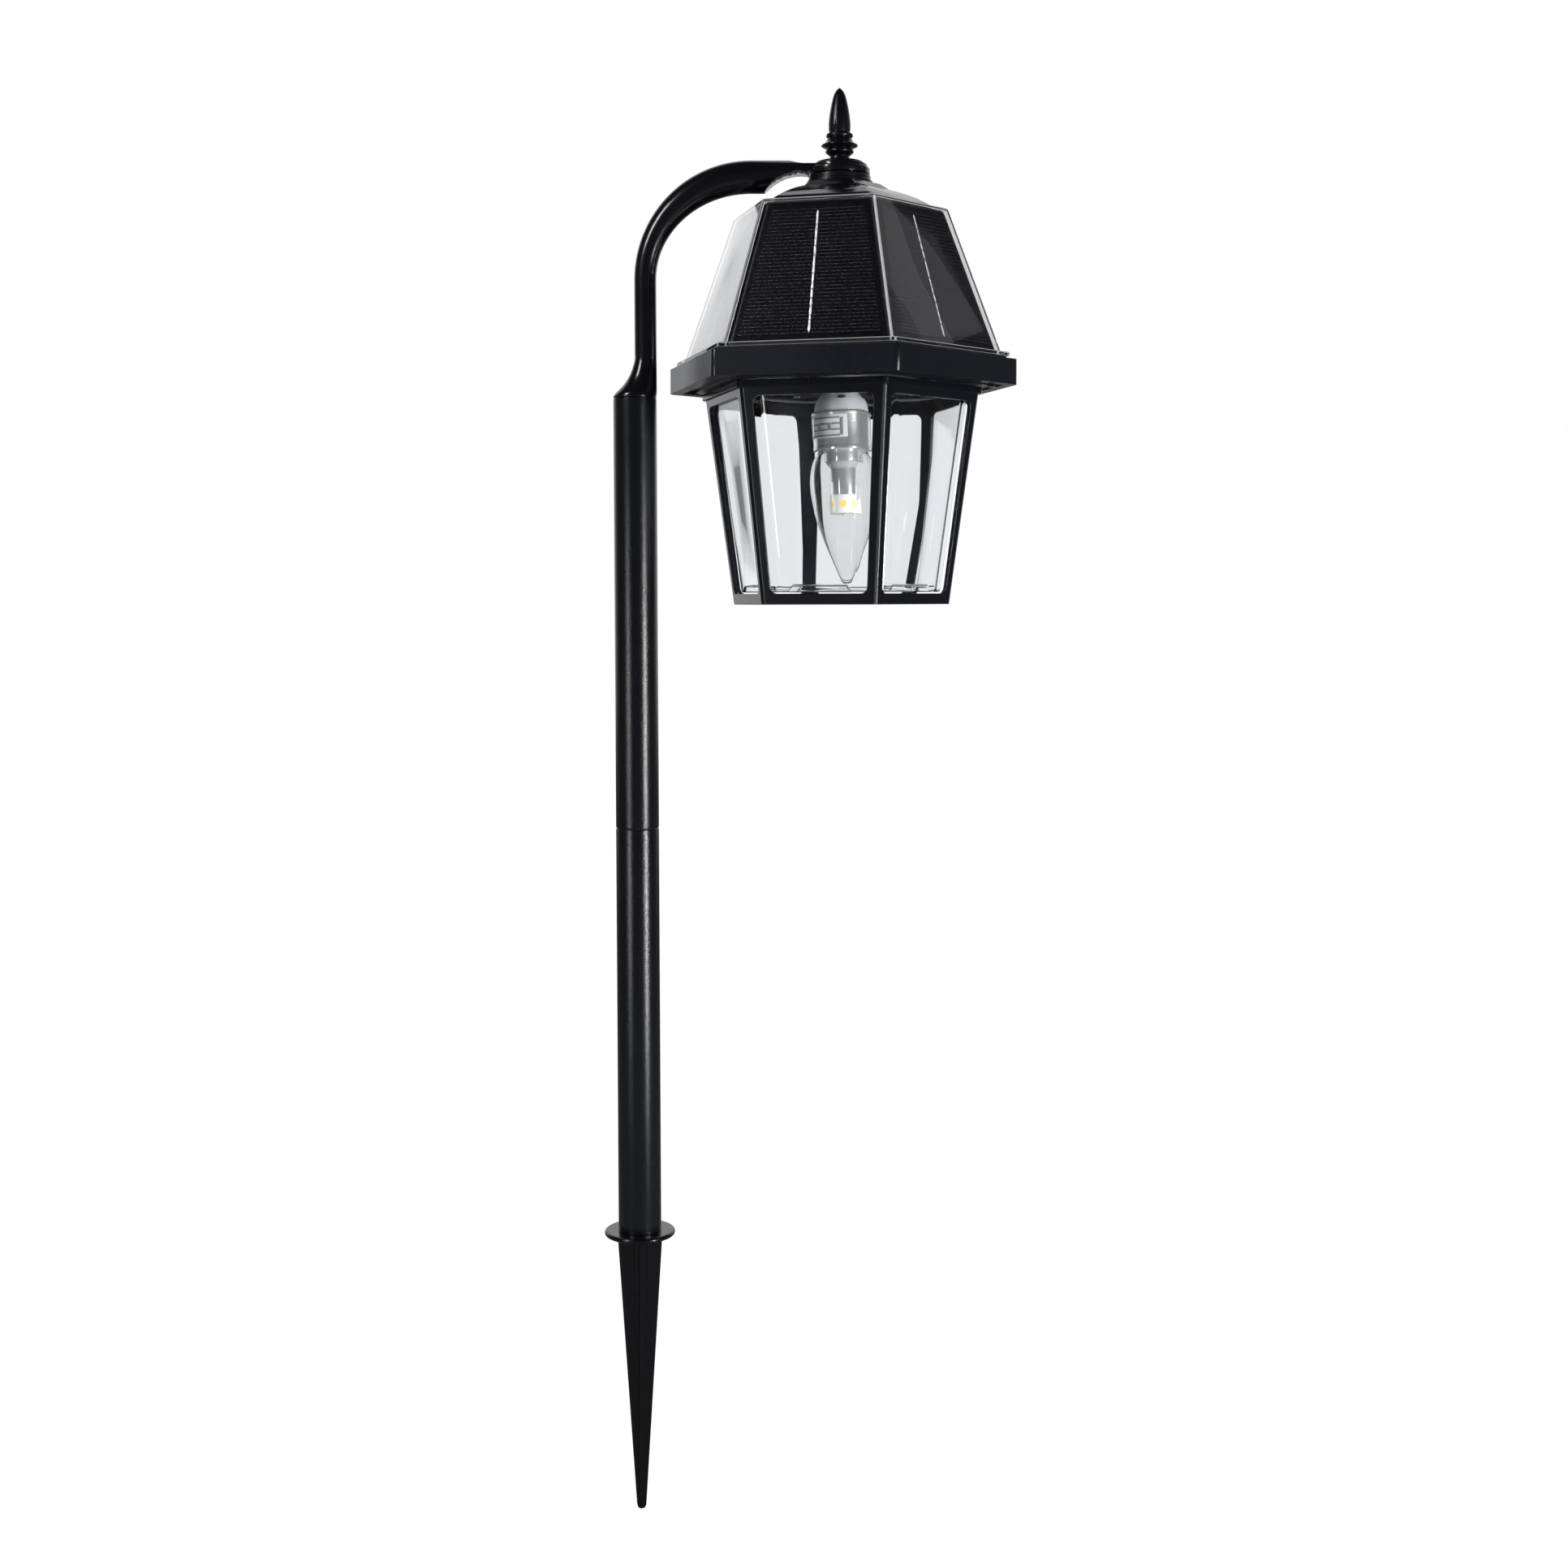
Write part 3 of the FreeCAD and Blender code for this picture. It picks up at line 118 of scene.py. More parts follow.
class RoofSizes(bpy.types.PropertyGroup):
    """Sizes of the clear cover and of the solar cells under it."""
    foot_radius: length("Foot radius", "Cover's corner radius at its foot", 95.1)
    top_radius: length("Top radius", "Cover's corner radius at its top", 64.0)
    wall: length("Wall", "Cover's wall thickness", 1.8)
    corner: length("Corner", "Rounding of the cover's upright corners", 2.2)
    ledge: length("Ledge", "How far the cover's foot stands out", 5.0)
    ledge_height: length("Ledge height", "Height of the cover's foot", 2.4)
    cell_border: length("Cell border", "Black border between a panel's edge and its cell", 3.6)
    finger_pitch: length("Finger pitch", "Distance between the cells' printed fingers", 2.15)
    ribbon_width: length("Ribbon width", "Width of the tinned ribbon down each cell", 1.1)


class CageSizes(bpy.types.PropertyGroup):
    """Sizes of the clear liner that stands in the cage."""
    top_radius: length("Top radius", "Cage's corner radius at its top", 82.7)
    foot_radius: length("Foot radius", "Cage's corner radius at its foot", 65.4)
    wall: length("Cage wall", "Cage's wall thickness", 2.6)
    liner_wall: length("Liner wall", "Liner's wall thickness", 1.2)
    liner_floor: length("Liner floor", "Thickness of the liner's floor", 0.7)
    liner_gap: length("Liner gap", "Gap between the liner and the cage", 0.5)
    liner_bevel: length("Liner bevel", "How much of each corner the liner leaves out", 9.0)
    liner_lift: length("Liner lift", "Height of the liner's feet above the cage's foot", 7.1)
    liner_step: length("Liner step", "How far the liner's floor is raised along each side", 2.9)


class LampSizes(bpy.types.PropertyGroup):
    """Sizes of the lamp, which hangs a little out of plumb."""
    lean: FloatProperty(name="Lean", description="How far the lamp hangs out of plumb",
                        default=math.radians(2.0), subtype="ANGLE")
    drop: length("Top height", "Height of the top of the lamp's housing", 503.0)
    housing: length("Housing", "Height of the white housing", 14.2)
    sleeve_radius: length("Sleeve radius", "Radius of the bright sleeve", 17.7)
    sleeve: length("Sleeve", "Height of the bright sleeve", 22.8)
    neck_radius: length("Neck radius", "Radius of the neck under the sleeve", 11.5)
    neck: length("Neck", "Height of the neck", 6.6)
    cone: length("Cone", "Height of the grey cone", 3.8)
    column_radius: length("Column radius", "Radius of the column that carries the drum", 8.4)
    column: length("Column", "Height of the column", 15.2)
    drum_radius: length("Drum radius", "Radius of the white drum with the chips", 9.2)
    drum: length("Drum", "Height of the white drum", 11.0)
    chips: IntProperty(name="Chips", description="Light chips round the drum", default=8, min=1)
    glass_radius: length("Glass radius", "Widest radius of the clear glass", 20.8)
    glass_neck: length("Glass neck", "Radius of the clear glass where it is bonded", 14.8)
    glass_length: length("Glass length", "Length of the clear glass", 78.0)
    glass_wall: length("Glass wall", "Wall of the clear glass", 0.8)


class LanternColours(bpy.types.PropertyGroup):
    """Colours of the finishes."""
    paint: colour("Paint", "Powder paint on the pole", (0.0030, 0.0036, 0.0054))
    gloss: colour("Gloss", "Glossy black of the hook and the hub", (0.0016, 0.0018, 0.0029))
    satin: colour("Satin", "Satin black of the rim and the cage", (0.0032, 0.0041, 0.0066))
    silicon: colour("Silicon", "Face of the solar cells", (0.0012, 0.0013, 0.0024))
    clear: colour("Clear", "Clear plastic of the cover and the liner", (0.97, 0.98, 0.99))
    glass: colour("Glass", "Clear glass of the lamp", (0.985, 0.99, 0.99))
    white: colour("White", "White plastic of the lamp's housing", (0.56, 0.57, 0.58))
    phosphor: colour("Phosphor", "Yellow face of the light chips", (0.92, 0.66, 0.10))


GROUPS = {"garden_pole": PoleSizes, "garden_roof": RoofSizes, "garden_cage": CageSizes,
          "garden_lamp": LampSizes, "garden_colours": LanternColours}


def sizes(group):
    return getattr(bpy.context.scene, "garden_" + group)


# ------------------------------------------------------------------ surfaces
def around(angle):
    """Unit vectors in the ground plane at the angles, as (..., 2)."""
    return np.stack([np.cos(angle), np.sin(angle)], -1)


def eased(points, cuts, steps=4, closed=True):
    """Round the corners of a line: each corner P gives way to the parabola (1-s)^2 A + 2s(1-s) P + s^2 B,
    where A and B lie cut away from P towards its neighbours. points is (..., n, k), cuts is (..., n)."""
    before = np.roll(points, 1, -2) - points
    after = np.roll(points, -1, -2) - points
    lengths = [np.linalg.norm(side[..., :2], axis=-1) for side in (before, after)]
    limit = 0.48 * np.minimum(*lengths)
    cut = np.minimum(cuts, limit)
    if not closed:
        cut[..., 0] = cut[..., -1] = 0
    first = points + before * (cut / np.maximum(lengths[0], 1e-12))[..., None]
    last = points + after * (cut / np.maximum(lengths[1], 1e-12))[..., None]
    s = np.linspace(0, 1, steps + 1)[:, None]
    first, corner, last = (end[..., None, :] for end in (first, points, last))
    line = (1 - s) ** 2 * first + 2 * s * (1 - s) * corner + s ** 2 * last
    return line.reshape(*points.shape[:-2], -1, points.shape[-1])


def turn_about_axis(profile, steps):
    """Revolve: the point (r, z) of the profile at angle a is (r cos a, r sin a, z)."""
    angle = np.linspace(0, 2 * math.pi, steps, endpoint=False)
    flat = profile[:, None, :1] * around(angle)[None]
    return np.concatenate([flat, np.broadcast_to(profile[:, None, 1:2], flat.shape[:2] + (1,))], -1)


def hexagon_rings(rows, steps):
    """A profile carried round a hexagon: row (R, z, rounding) gives the hexagon with corners R from the
    axis at angles 60k, each corner eased over rounding * tan 30 of both of its sides."""
    radius, height, rounding = (rows[:, i, None] for i in range(3))
    corners = radius[..., None] * around(np.radians(60.0 * np.arange(SIDES)))[None]
    cuts = np.broadcast_to(rounding * math.tan(math.radians(30)), corners.shape[:2]).copy()
    ring = eased(corners, cuts, steps)
    return np.concatenate([ring, np.broadcast_to(height[..., None], ring.shape[:2] + (1,))], -1)


def bevelled_rings(rows):
    """A profile carried round a hexagon with its corners cut off: row (R, z, cut, ease, lift).  Each side
    also gets four points, and the middle two stand lift higher than the row's height."""
    radius, height, cut, ease, lift = (rows[:, i, None] for i in range(5))
    angle = np.radians(60.0 * np.arange(SIDES))
    corner = radius[..., None] * around(angle)[None]
    pair = [corner + cut[..., None] * around(angle + side * math.radians(120))[None] for side in (-1, 1)]
    points = np.stack(pair, 2).reshape(len(rows), -1, 2)
    arcs = eased(points, np.broadcast_to(ease, points.shape[:2]).copy(), 3)
    arcs = arcs.reshape(len(rows), SIDES, -1, 2)
    share = np.array([0.07, 0.13, 0.87, 0.93])[None, None, :, None]
    flats = (1 - share) * arcs[:, :, -1:, :] + share * np.roll(arcs, -1, 1)[:, :, :1, :]
    raised = np.concatenate([np.zeros(arcs.shape[2]), [0, 1, 1, 0]])
    ring = np.concatenate([arcs, flats], 2)
    up = height[:, None, :] + lift[:, None, :] * raised[None, None]
    up = np.broadcast_to(up, ring.shape[:3])[..., None]
    return np.concatenate([ring, up], -1).reshape(len(rows), -1, 3)


def plate_rings(outline, rows):
    """A plate: the outline (m, 2) shrunk to each row's scale, at that row's height: (u, v, height)."""
    centre = outline.mean(0)
    flat = centre + rows[:, None, :1] * (outline - centre)[None]
    return np.concatenate([flat, np.broadcast_to(rows[:, None, 1:2], flat.shape[:2] + (1,))], -1)


def filled_outline(corners, rounding, steps=4, along=6):
    """The rounded outline of a flat shape with extra points along its straight sides."""
    ring = eased(corners, np.full(len(corners), rounding), steps).reshape(len(corners), -1, 2)
    share = (np.arange(1, along) / along)[None, :, None]
    sides = (1 - share) * ring[:, -1:, :] + share * np.roll(ring, -1, 0)[:, :1, :]
    return np.concatenate([ring, sides], 1).reshape(-1, 2)


def at_lantern(points):
    """From the lantern's own axes to the end of the arm, turned as the lantern hangs."""
    cos, sin = math.cos(LANTERN_TURN), math.sin(LANTERN_TURN)
    x = points[..., 0] * cos - points[..., 1] * sin + LANTERN_AXIS[0]
    y = points[..., 0] * sin + points[..., 1] * cos + LANTERN_AXIS[1]
    return np.stack([x, y, points[..., 2]], -1)


def at_lamp(points):
    """From upright to the lamp's lean about the top of its housing, then out to the lantern's axis."""
    lamp = sizes("lamp")
    up = points[..., 2] - lamp.drop
    x = points[..., 0] * math.cos(lamp.lean) - up * math.sin(lamp.lean) + LANTERN_AXIS[0]
    z = points[..., 0] * math.sin(lamp.lean) + up * math.cos(lamp.lean) + lamp.drop
    return np.stack([x, points[..., 1] + LANTERN_AXIS[1], z], -1)


def grid_faces(rows, columns, joined, first):
    """Quads between neighbouring rows and columns; columns always close, rows close if joined."""
    i = np.arange(rows if joined else rows - 1)[:, None]
    j = np.arange(columns)[None]
    below, right = (i + 1) % rows, (j + 1) % columns
    quads = [i * columns + j, i * columns + right, below * columns + right, below * columns + j]
    return np.stack([np.broadcast_to(q, (i.size, columns)) for q in quads], -1).reshape(-1, 4) + first


def make_piece(name, grids, material, body, stands_for=(), joined=True, sharp=32.0, place=None):
    """One object from closed grids of points.  Equal points are merged, faces are pointed outwards."""
    points = np.concatenate([grid.reshape(-1, 3) for grid in grids])
    firsts = np.cumsum([0] + [grid.shape[0] * grid.shape[1] for grid in grids])
    faces = [grid_faces(*grid.shape[:2], joined, first) for grid, first in zip(grids, firsts)]
    mesh = bpy.data.meshes.new(name)
    mesh.from_pydata(points.tolist(), [], np.concatenate(faces).tolist())
    if place is not None:
        spots = mesh.attributes.new("place", "FLOAT_VECTOR", "POINT")
        spots.data.foreach_set("vector", np.concatenate([p.reshape(-1, 3) for p in place]).ravel())
    shape = bmesh.new()
    shape.from_mesh(mesh)
    bmesh.ops.remove_doubles(shape, verts=shape.verts, dist=SAME_POINT)
    bmesh.ops.dissolve_degenerate(shape, edges=shape.edges, dist=1e-8)
    bmesh.ops.recalc_face_normals(shape, faces=shape.faces)
    if shape.calc_volume(signed=True) < 0:
        bmesh.ops.reverse_faces(shape, faces=shape.faces)
    shape.to_mesh(mesh)
    shape.free()
    mesh.shade_smooth()
    mesh.set_sharp_from_angle(angle=math.radians(sharp))
    mesh.materials.append(material)
    piece = bpy.data.objects.new(name, mesh)
    bpy.context.scene.collection.objects.link(piece)
    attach(piece, body)
    if stands_for:
        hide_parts(*stands_for)
    return piece


def finish_node(names, material, edge=0.0):
    """Give CAD nodes their finish and, where edge is set, round their sharp edges by that many mm."""
    for name in names:
        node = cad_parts[name]
        for spot in node.material_slots:
            spot.material = material
        if edge:
            node.modifiers.new("joined", "WELD").merge_threshold = JOINED_POINT
            bevel = node.modifiers.new("eased", "BEVEL")
            bevel.width = edge * MM
            bevel.segments = 2
            bevel.limit_method = "ANGLE"
            bevel.angle_limit = EDGE_ANGLE
            bevel.harden_normals = True


# ------------------------------------------------------------------ finishes
class Wire:
    """One socket of a node tree.  Arithmetic on wires and numbers adds Math nodes."""

    def __init__(self, tree, socket):
        self.tree, self.socket = tree, socket

    def sum(self, operation, first, second=0.0):
        return self.tree.node("Math", {"operation": operation}, {0: first, 1: second})

    def __add__(self, other):
        return self.sum("ADD", self, other)

    def __radd__(self, other):
        return self.sum("ADD", other, self)

    def __sub__(self, other):
        return self.sum("SUBTRACT", self, other)

    def __rsub__(self, other):
        return self.sum("SUBTRACT", other, self)

    def __mul__(self, other):
        return self.sum("MULTIPLY", self, other)

    def __rmul__(self, other):
        return self.sum("MULTIPLY", other, self)

    def __truediv__(self, other):
        return self.sum("DIVIDE", self, other)

    def __rtruediv__(self, other):
        return self.sum("DIVIDE", other, self)

    def __gt__(self, other):
        return self.sum("GREATER_THAN", self, other)

    def __lt__(self, other):
        return self.sum("LESS_THAN", self, other)

    def distance(self):
        return self.sum("ABSOLUTE", self)

    def rest(self):
        return self.sum("FRACT", self)

    def between(self, low, high):
        """0 below low, 1 above high, and a smooth rise between them."""
        settings = {"interpolation_type": "SMOOTHSTEP"}
        return self.tree.node("MapRange", settings, {0: self, 1: low, 2: high, 3: 0.0, 4: 1.0})


class Tree:
    """The node tree of a material or of the world."""

    def __init__(self, owner):
        owner.use_nodes = True
        self.nodes = owner.node_tree.nodes
        self.links = owner.node_tree.links
        self.nodes.clear()

    def node(self, kind, settings=None, sockets=None, output=0):
        """Adds a node of that kind, makes its settings, then fills its sockets, and returns an output."""
        made = self.nodes.new("ShaderNode" + kind)
        for name, value in (settings or {}).items():
            setattr(made, name, value)
        for name, value in (sockets or {}).items():
            socket = made.inputs[name]
            if isinstance(value, Wire):
                self.links.new(value.socket, socket)
            elif hasattr(value, "__len__") and len(value) == 3 and socket.type == "RGBA":
                socket.default_value = (*value, 1.0)
            else:
                socket.default_value = value
        return Wire(self, made.outputs[output] if len(made.outputs) else None)

    def mix(self, share, first, second):
        """Colour from first to second by share."""
        return self.node("Mix", {"data_type": "RGBA"}, {0: share, 6: first, 7: second}, output=2)

    def spots(self, scale, detail=2.0, rough=0.5, where=None, stretch=None):
        """Noise from 0 to 1 over the object's own coordinates, or over where."""
        where = where or self.node("TexCoord", output=3)
        if stretch:
            where = self.node("Mapping", None, {0: where, 3: stretch})
        sockets = {"Vector": where, "Scale": scale, "Detail": detail, "Roughness": rough}
        return self.node("TexNoise", None, sockets)

    def rubbed_edges(self, radius):
        """(how much an edge is near, a normal that rounds it over radius)."""
        soft = self.node("Bevel", {"samples": 4}, {"Radius": radius})
        true = self.node("NewGeometry", output=1)
        dot = self.node("VectorMath", {"operation": "DOT_PRODUCT"}, {0: soft, 1: true}, output=1)
        return (1 - dot).between(0.01, 0.22), soft

    def bump(self, height, distance, normal=None):
        sockets = {"Height": height, "Distance": distance}
        if normal:
            sockets["Normal"] = normal
        return self.node("Bump", None, sockets)

    def place(self, axis=None):
        """The piece's own place attribute, or one of its three numbers."""
        place = self.node("Attribute", {"attribute_name": "place"}, output=1)
        if axis is None:
            return place
        return self.part(place, axis)

    def part(self, vector, axis):
        """One of a vector's three numbers."""
        split = self.node("SeparateXYZ", None, {0: vector})
        return Wire(self, split.socket.node.outputs[axis])

    def plain_view(self):
        """1 where a ray from the eye has met nothing but clear parts on its way, 0 after a bounce."""
        ray = self.node("LightPath").socket.node
        mirrored, scattered = (Wire(self, ray.outputs[name]) for name in ("Glossy Depth", "Diffuse Depth"))
        return (mirrored + scattered) < 0.5

    def surface(self, **sockets):
        """The Principled shader with these sockets, joined to the output."""
        names = {key.replace("_", " "): value for key, value in sockets.items()}
        shader = self.node("BsdfPrincipled", None, names)
        self.node("OutputMaterial", None, {0: shader})


def new_material(name):
    material = bpy.data.materials.new(name)
    return material, Tree(material)


def scaled(tone, factor):
    return tuple(min(1.0, c * factor) for c in tone)


def black_finish(name, tone, rough, grain, depth, coat=0.0):
    """A black moulding or paint: fine grain in the bump, cloudy colour and gloss, faint handling marks,
    and edges that are paler and smoother where hands and tools rub them."""
    material, tree = new_material(name)
    cloud = tree.spots(28.0, 3.0, 0.6)
    fine = tree.spots(grain, 2.0, 0.55)
    marks = tree.spots(160.0, 4.0, 0.7, stretch=(1.0, 1.0, 0.12)).between(0.62, 0.78)
    rub, soft = tree.rubbed_edges(RUBBED_EDGE)
    base = tree.mix(cloud, scaled(tone, 0.75), scaled(tone, 1.3))
    base = tree.mix(fine.between(0.35, 0.75) * 0.35, base, scaled(tone, 2.0))
    base = tree.mix(marks * 0.12, base, scaled(tone, 4.0))
    base = tree.mix(rub * 0.5, base, scaled(tone, 2.6))
    gloss = rough + 0.10 * (cloud - 0.5) + 0.08 * (fine - 0.5) + 0.05 * marks - 0.06 * rub
    normal = tree.bump(fine + 0.3 * tree.spots(grain * 0.35, 1.0), depth * MM, soft)
    tree.surface(Base_Color=base, Roughness=gloss, Normal=normal, IOR=1.5, Coat_Weight=coat,
                 Coat_Roughness=0.12)
    return material


def clear_finish(name, tone, rough, ior, wave, edges=0.0):
    """Clear moulding or glass: slight flow waves in the bump, faint haze where it is handled.  With edges
    set, a painted highlight stands in for the light that runs along inside the wall: a pale shader is mixed
    in at its corners, by the piece's own place."""
    material, tree = new_material(name)
    flow = tree.spots(12.0, 1.0, 0.4)
    haze = tree.spots(70.0, 3.0, 0.6)
    base = tree.mix(haze * 0.4, tone, scaled(tone, 0.96))
    gloss = rough + 0.02 * haze.between(0.45, 0.8)
    normal = tree.bump(flow, wave * MM)
    shader = tree.node("BsdfPrincipled", None, {"Base Color": base, "Roughness": gloss, "Normal": normal,
                                                "IOR": ior, "Transmission Weight": 1.0})
    # painted highlight: a pale opaque shader mixed in along the moulded edges, in place of lit glassy edges
    if edges:
        near = tree.place(0).between(0.35, 0.95) * (0.75 + 0.5 * haze)
        pale = {"Base Color": (0.80, 0.83, 0.87), "Roughness": 0.15, "IOR": ior}
        painted_edge_highlight = tree.node("BsdfPrincipled", None, pale)
        shader = tree.node("MixShader", None, {0: edges * near, 1: shader, 2: painted_edge_highlight})
    tree.node("OutputMaterial", None, {0: shader})
    return material


def metal_finish(name, tone, rough, tarnish=0.3, metallic=1.0):
    """Bright metal: drawn or turned lines, and a patchy dulling of tone and gloss."""
    material, tree = new_material(name)
    lines = tree.spots(900.0, 2.0, 0.6, stretch=(1.0, 1.0, 0.3))
    patch = tree.spots(60.0, 3.0, 0.6).between(0.4, 0.75)
    base = tree.mix(patch * tarnish, tone, scaled(tone, 0.62))
    gloss = rough + 0.10 * patch + 0.06 * (lines - 0.5)
    tree.surface(Base_Color=base, Metallic=metallic, Roughness=gloss, Normal=tree.bump(lines, 0.01 * MM))
    return material


def plain_finish(name, tone, rough, grain=700.0, depth=0.03, spread=0.25):
    """A small inside part: its tone clouded by spread, with a fine moulded or pressed grain."""
    material, tree = new_material(name)
    cloud = tree.spots(90.0, 3.0, 0.6)
    fine = tree.spots(grain, 2.0, 0.5)
    base = tree.mix(cloud, scaled(tone, 1 - spread), scaled(tone, 1 + spread))
    gloss = rough + 0.14 * (fine - 0.5)
    tree.surface(Base_Color=base, Roughness=gloss, Normal=tree.bump(fine, depth * MM))
    return material


def silicon_finish():
    """A solar cell under clear resin: crystal tone, fine printed fingers across and a dusty sparkle."""
    roof, tones = sizes("roof"), sizes("colours")
    material, tree = new_material("silicon")
    place = tree.place()
    line = ((tree.place(1) / roof.finger_pitch).rest() - 0.5).distance()
    finger = 1 - line.between(0.07, 0.13)
    wander = tree.spots(9.0, 2.0, 0.5, where=place)
    crystal = tree.spots(260.0, 3.0, 0.7, where=place)
    base = tree.mix(wander, scaled(tones.silicon, 0.6), scaled(tones.silicon, 1.7))
    base = tree.mix(crystal.between(0.62, 0.8) * 0.4, base, scaled(tones.silicon, 4.0))
    worn = tree.spots(700.0, 2.0, 0.6, where=place).between(0.35, 0.6)
    base = tree.mix(finger * (0.3 + 0.6 * worn), base, (0.030, 0.029, 0.032))
    gloss = 0.10 + 0.06 * crystal + 0.08 * finger
    normal = tree.bump(tree.spots(11.0, 1.0, 0.4) + 0.02 * crystal, 0.35 * MM)
    tree.surface(Base_Color=base, Roughness=gloss, Normal=normal, IOR=1.5, Coat_Weight=0.6,
                 Coat_Roughness=0.03)
    return material


def ribbon_finish():
    """Tinned copper ribbon: bright solder with dull breaks along its length."""
    material, tree = new_material("ribbon")
    beads = tree.spots(300.0, 4.0, 0.75, where=tree.place())
    dull = beads.between(0.50, 0.58)
    base = tree.mix(dull, (0.95, 0.95, 0.95), (0.10, 0.10, 0.11))
    tree.surface(Base_Color=base, Metallic=0.35, Roughness=0.2 + 0.35 * dull,
                 Normal=tree.bump(beads, 0.12 * MM))
    return material


def label_finish():
    """Grey rating label: paper tooth and plain ruled bars in place of any print."""
    material, tree = new_material("label")
    bar = ((tree.place(1) / (3.4 * MM)).rest() - 0.5).distance() < 0.15
    margin = tree.place(0)
    bar = bar * (margin > 2.5 * MM) * (margin < 26.0 * MM)
    tooth = tree.spots(1500.0, 3.0, 0.6)
    base = tree.mix(tooth, (0.60, 0.61, 0.62), (0.70, 0.71, 0.72))
    base = tree.mix(bar * 0.8, base, (0.10, 0.10, 0.11))
    tree.surface(Base_Color=base, Roughness=0.45 + 0.2 * tooth, Normal=tree.bump(tooth, 0.02 * MM))
    return material


def chip_finish():
    """A light chip: white frame, with yellow phosphor in the sunk window."""
    phosphor = sizes("colours").phosphor
    material, tree = new_material("phosphor")
    inside = tree.place(2).between(0.3, 0.5)
    cast = tree.spots(1800.0, 2.0, 0.6)
    yellow = tree.mix(cast, scaled(phosphor, 0.85), scaled(phosphor, 1.1))
    base = tree.mix(inside, (0.78, 0.77, 0.72), yellow)
    tree.surface(Base_Color=base, Roughness=0.35 + 0.15 * cast, Normal=tree.bump(cast, 0.02 * MM))
    return material


# ------------------------------------------------------------------ pieces
def rows(*points):
    return np.array(points, float) * MM


def pole_tube(node, material):
    """A tube with rounded ends: the closed profile of its wall, revolved."""
    pole = sizes("pole")
    low, high = (corner.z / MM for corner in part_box(node))
    outer, inner, edge = (v / MM for v in (pole.radius, pole.radius - pole.wall, pole.edge))
    profile = rows((inner, low, 0.15), (outer, low, edge), (outer, high, edge), (inner, high, 0.15))
    grid = turn_about_axis(eased(profile[:, :2], profile[:, 2], 5), 128)
    make_piece(node + "_skin", [grid], material, "pole", [node])


def cover_heights():
    """The cover's lowest height, the foot of its slopes and its top."""
    low, high = (corner.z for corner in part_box("cover_lens"))
    return low, low + sizes("roof").ledge_height, high


def cover_corner_radius(height):
    """Radius of the cover's corners at a height: a straight line from its foot to its top."""
    roof = sizes("roof")
    _, foot, high = cover_heights()
    return roof.foot_radius - (roof.foot_radius - roof.top_radius) * (height - foot) / (high - foot)


def roof_tilt():
    """How far a side leans in: the tangent is the change of its distance from the axis over its rise."""
    roof = sizes("roof")
    _, foot, high = cover_heights()
    return math.atan((roof.foot_radius - roof.top_radius) * ROOT3_2 / (high - foot))


def cover_skin(material):
    """Clear pyramid with an even wall: one closed profile, out and up the outside, over the flat top and
    down the inside, carried round the hexagon."""
    roof = sizes("roof")
    low, foot, high = cover_heights()
    inset = roof.wall / math.cos(roof_tilt()) / ROOT3_2
    inner_foot = roof.foot_radius - inset
    inner_top = cover_corner_radius(high - roof.wall) - inset
    line = np.array([
        (roof.foot_radius + roof.ledge, low, 2.2 * MM, 0.35 * MM),
        (roof.foot_radius + roof.ledge, foot, 2.2 * MM, 0.8 * MM),
        (roof.foot_radius, foot, roof.corner, 1.0 * MM),
        (roof.top_radius, high, roof.corner, 1.9 * MM),
        (COVER_HOLE, high, COVER_HOLE * ROOT3_2, 0.2 * MM),
        (COVER_HOLE, high - roof.wall, COVER_HOLE * ROOT3_2, 0.2 * MM),
        (inner_top, high - roof.wall, 1.2 * MM, 0.8 * MM),
        (inner_foot, foot, 1.2 * MM, 0.6 * MM),
        (inner_foot, low, 1.2 * MM, 0.3 * MM),
    ])
    profile = eased(line[:, :3], line[:, 3], 5)
    grid = at_lantern(hexagon_rings(profile, 6))
    # the place attribute carries the mask of the cover's painted edge highlight
    return make_piece("cover_skin", [grid], material, "lantern", ["cover_lens"],
                      place=[np.repeat(edge_share(grid, line)[..., None], 3, -1)])


def edge_share(grid, line):
    """How near each point of the cover is to a moulded edge: 1 in the middle of the six upright corners and
    on the rows of the foot and of the top's outer edge, 0 on the flat faces.  It is the mask of the painted
    edge highlight."""
    steps = grid.shape[0] // len(line)
    upright = np.tile(np.array([0.0, 0.5, 1.0, 1.0, 1.0, 0.5, 0.0]), SIDES)
    bend = np.tile(np.sin(np.linspace(0, math.pi, steps)), len(line))
    bend[4 * steps:] = 0
    wall = np.repeat(np.isin(np.arange(len(line)), (4, 5), invert=True), steps)
    return np.maximum(upright[None] * wall[:, None], bend[:, None])


def on_roof_side(k, plate, depth):
    """Carry plate points (u across, v up the slope, height) to side k of the roof, depth under its face."""
    roof = sizes("roof")
    tilt = roof_tilt()
    facing = math.radians(30 + 60 * k)
    across, along, height = (plate[..., i] for i in range(3))
    height = height - depth
    out = roof.foot_radius * ROOT3_2 - along * math.sin(tilt) + height * math.cos(tilt)
    up = cover_heights()[1] + along * math.cos(tilt) + height * math.sin(tilt)
    x = out * math.cos(facing) - across * math.sin(facing)
    y = out * math.sin(facing) + across * math.cos(facing)
    return at_lantern(np.stack([x, y, up], -1))


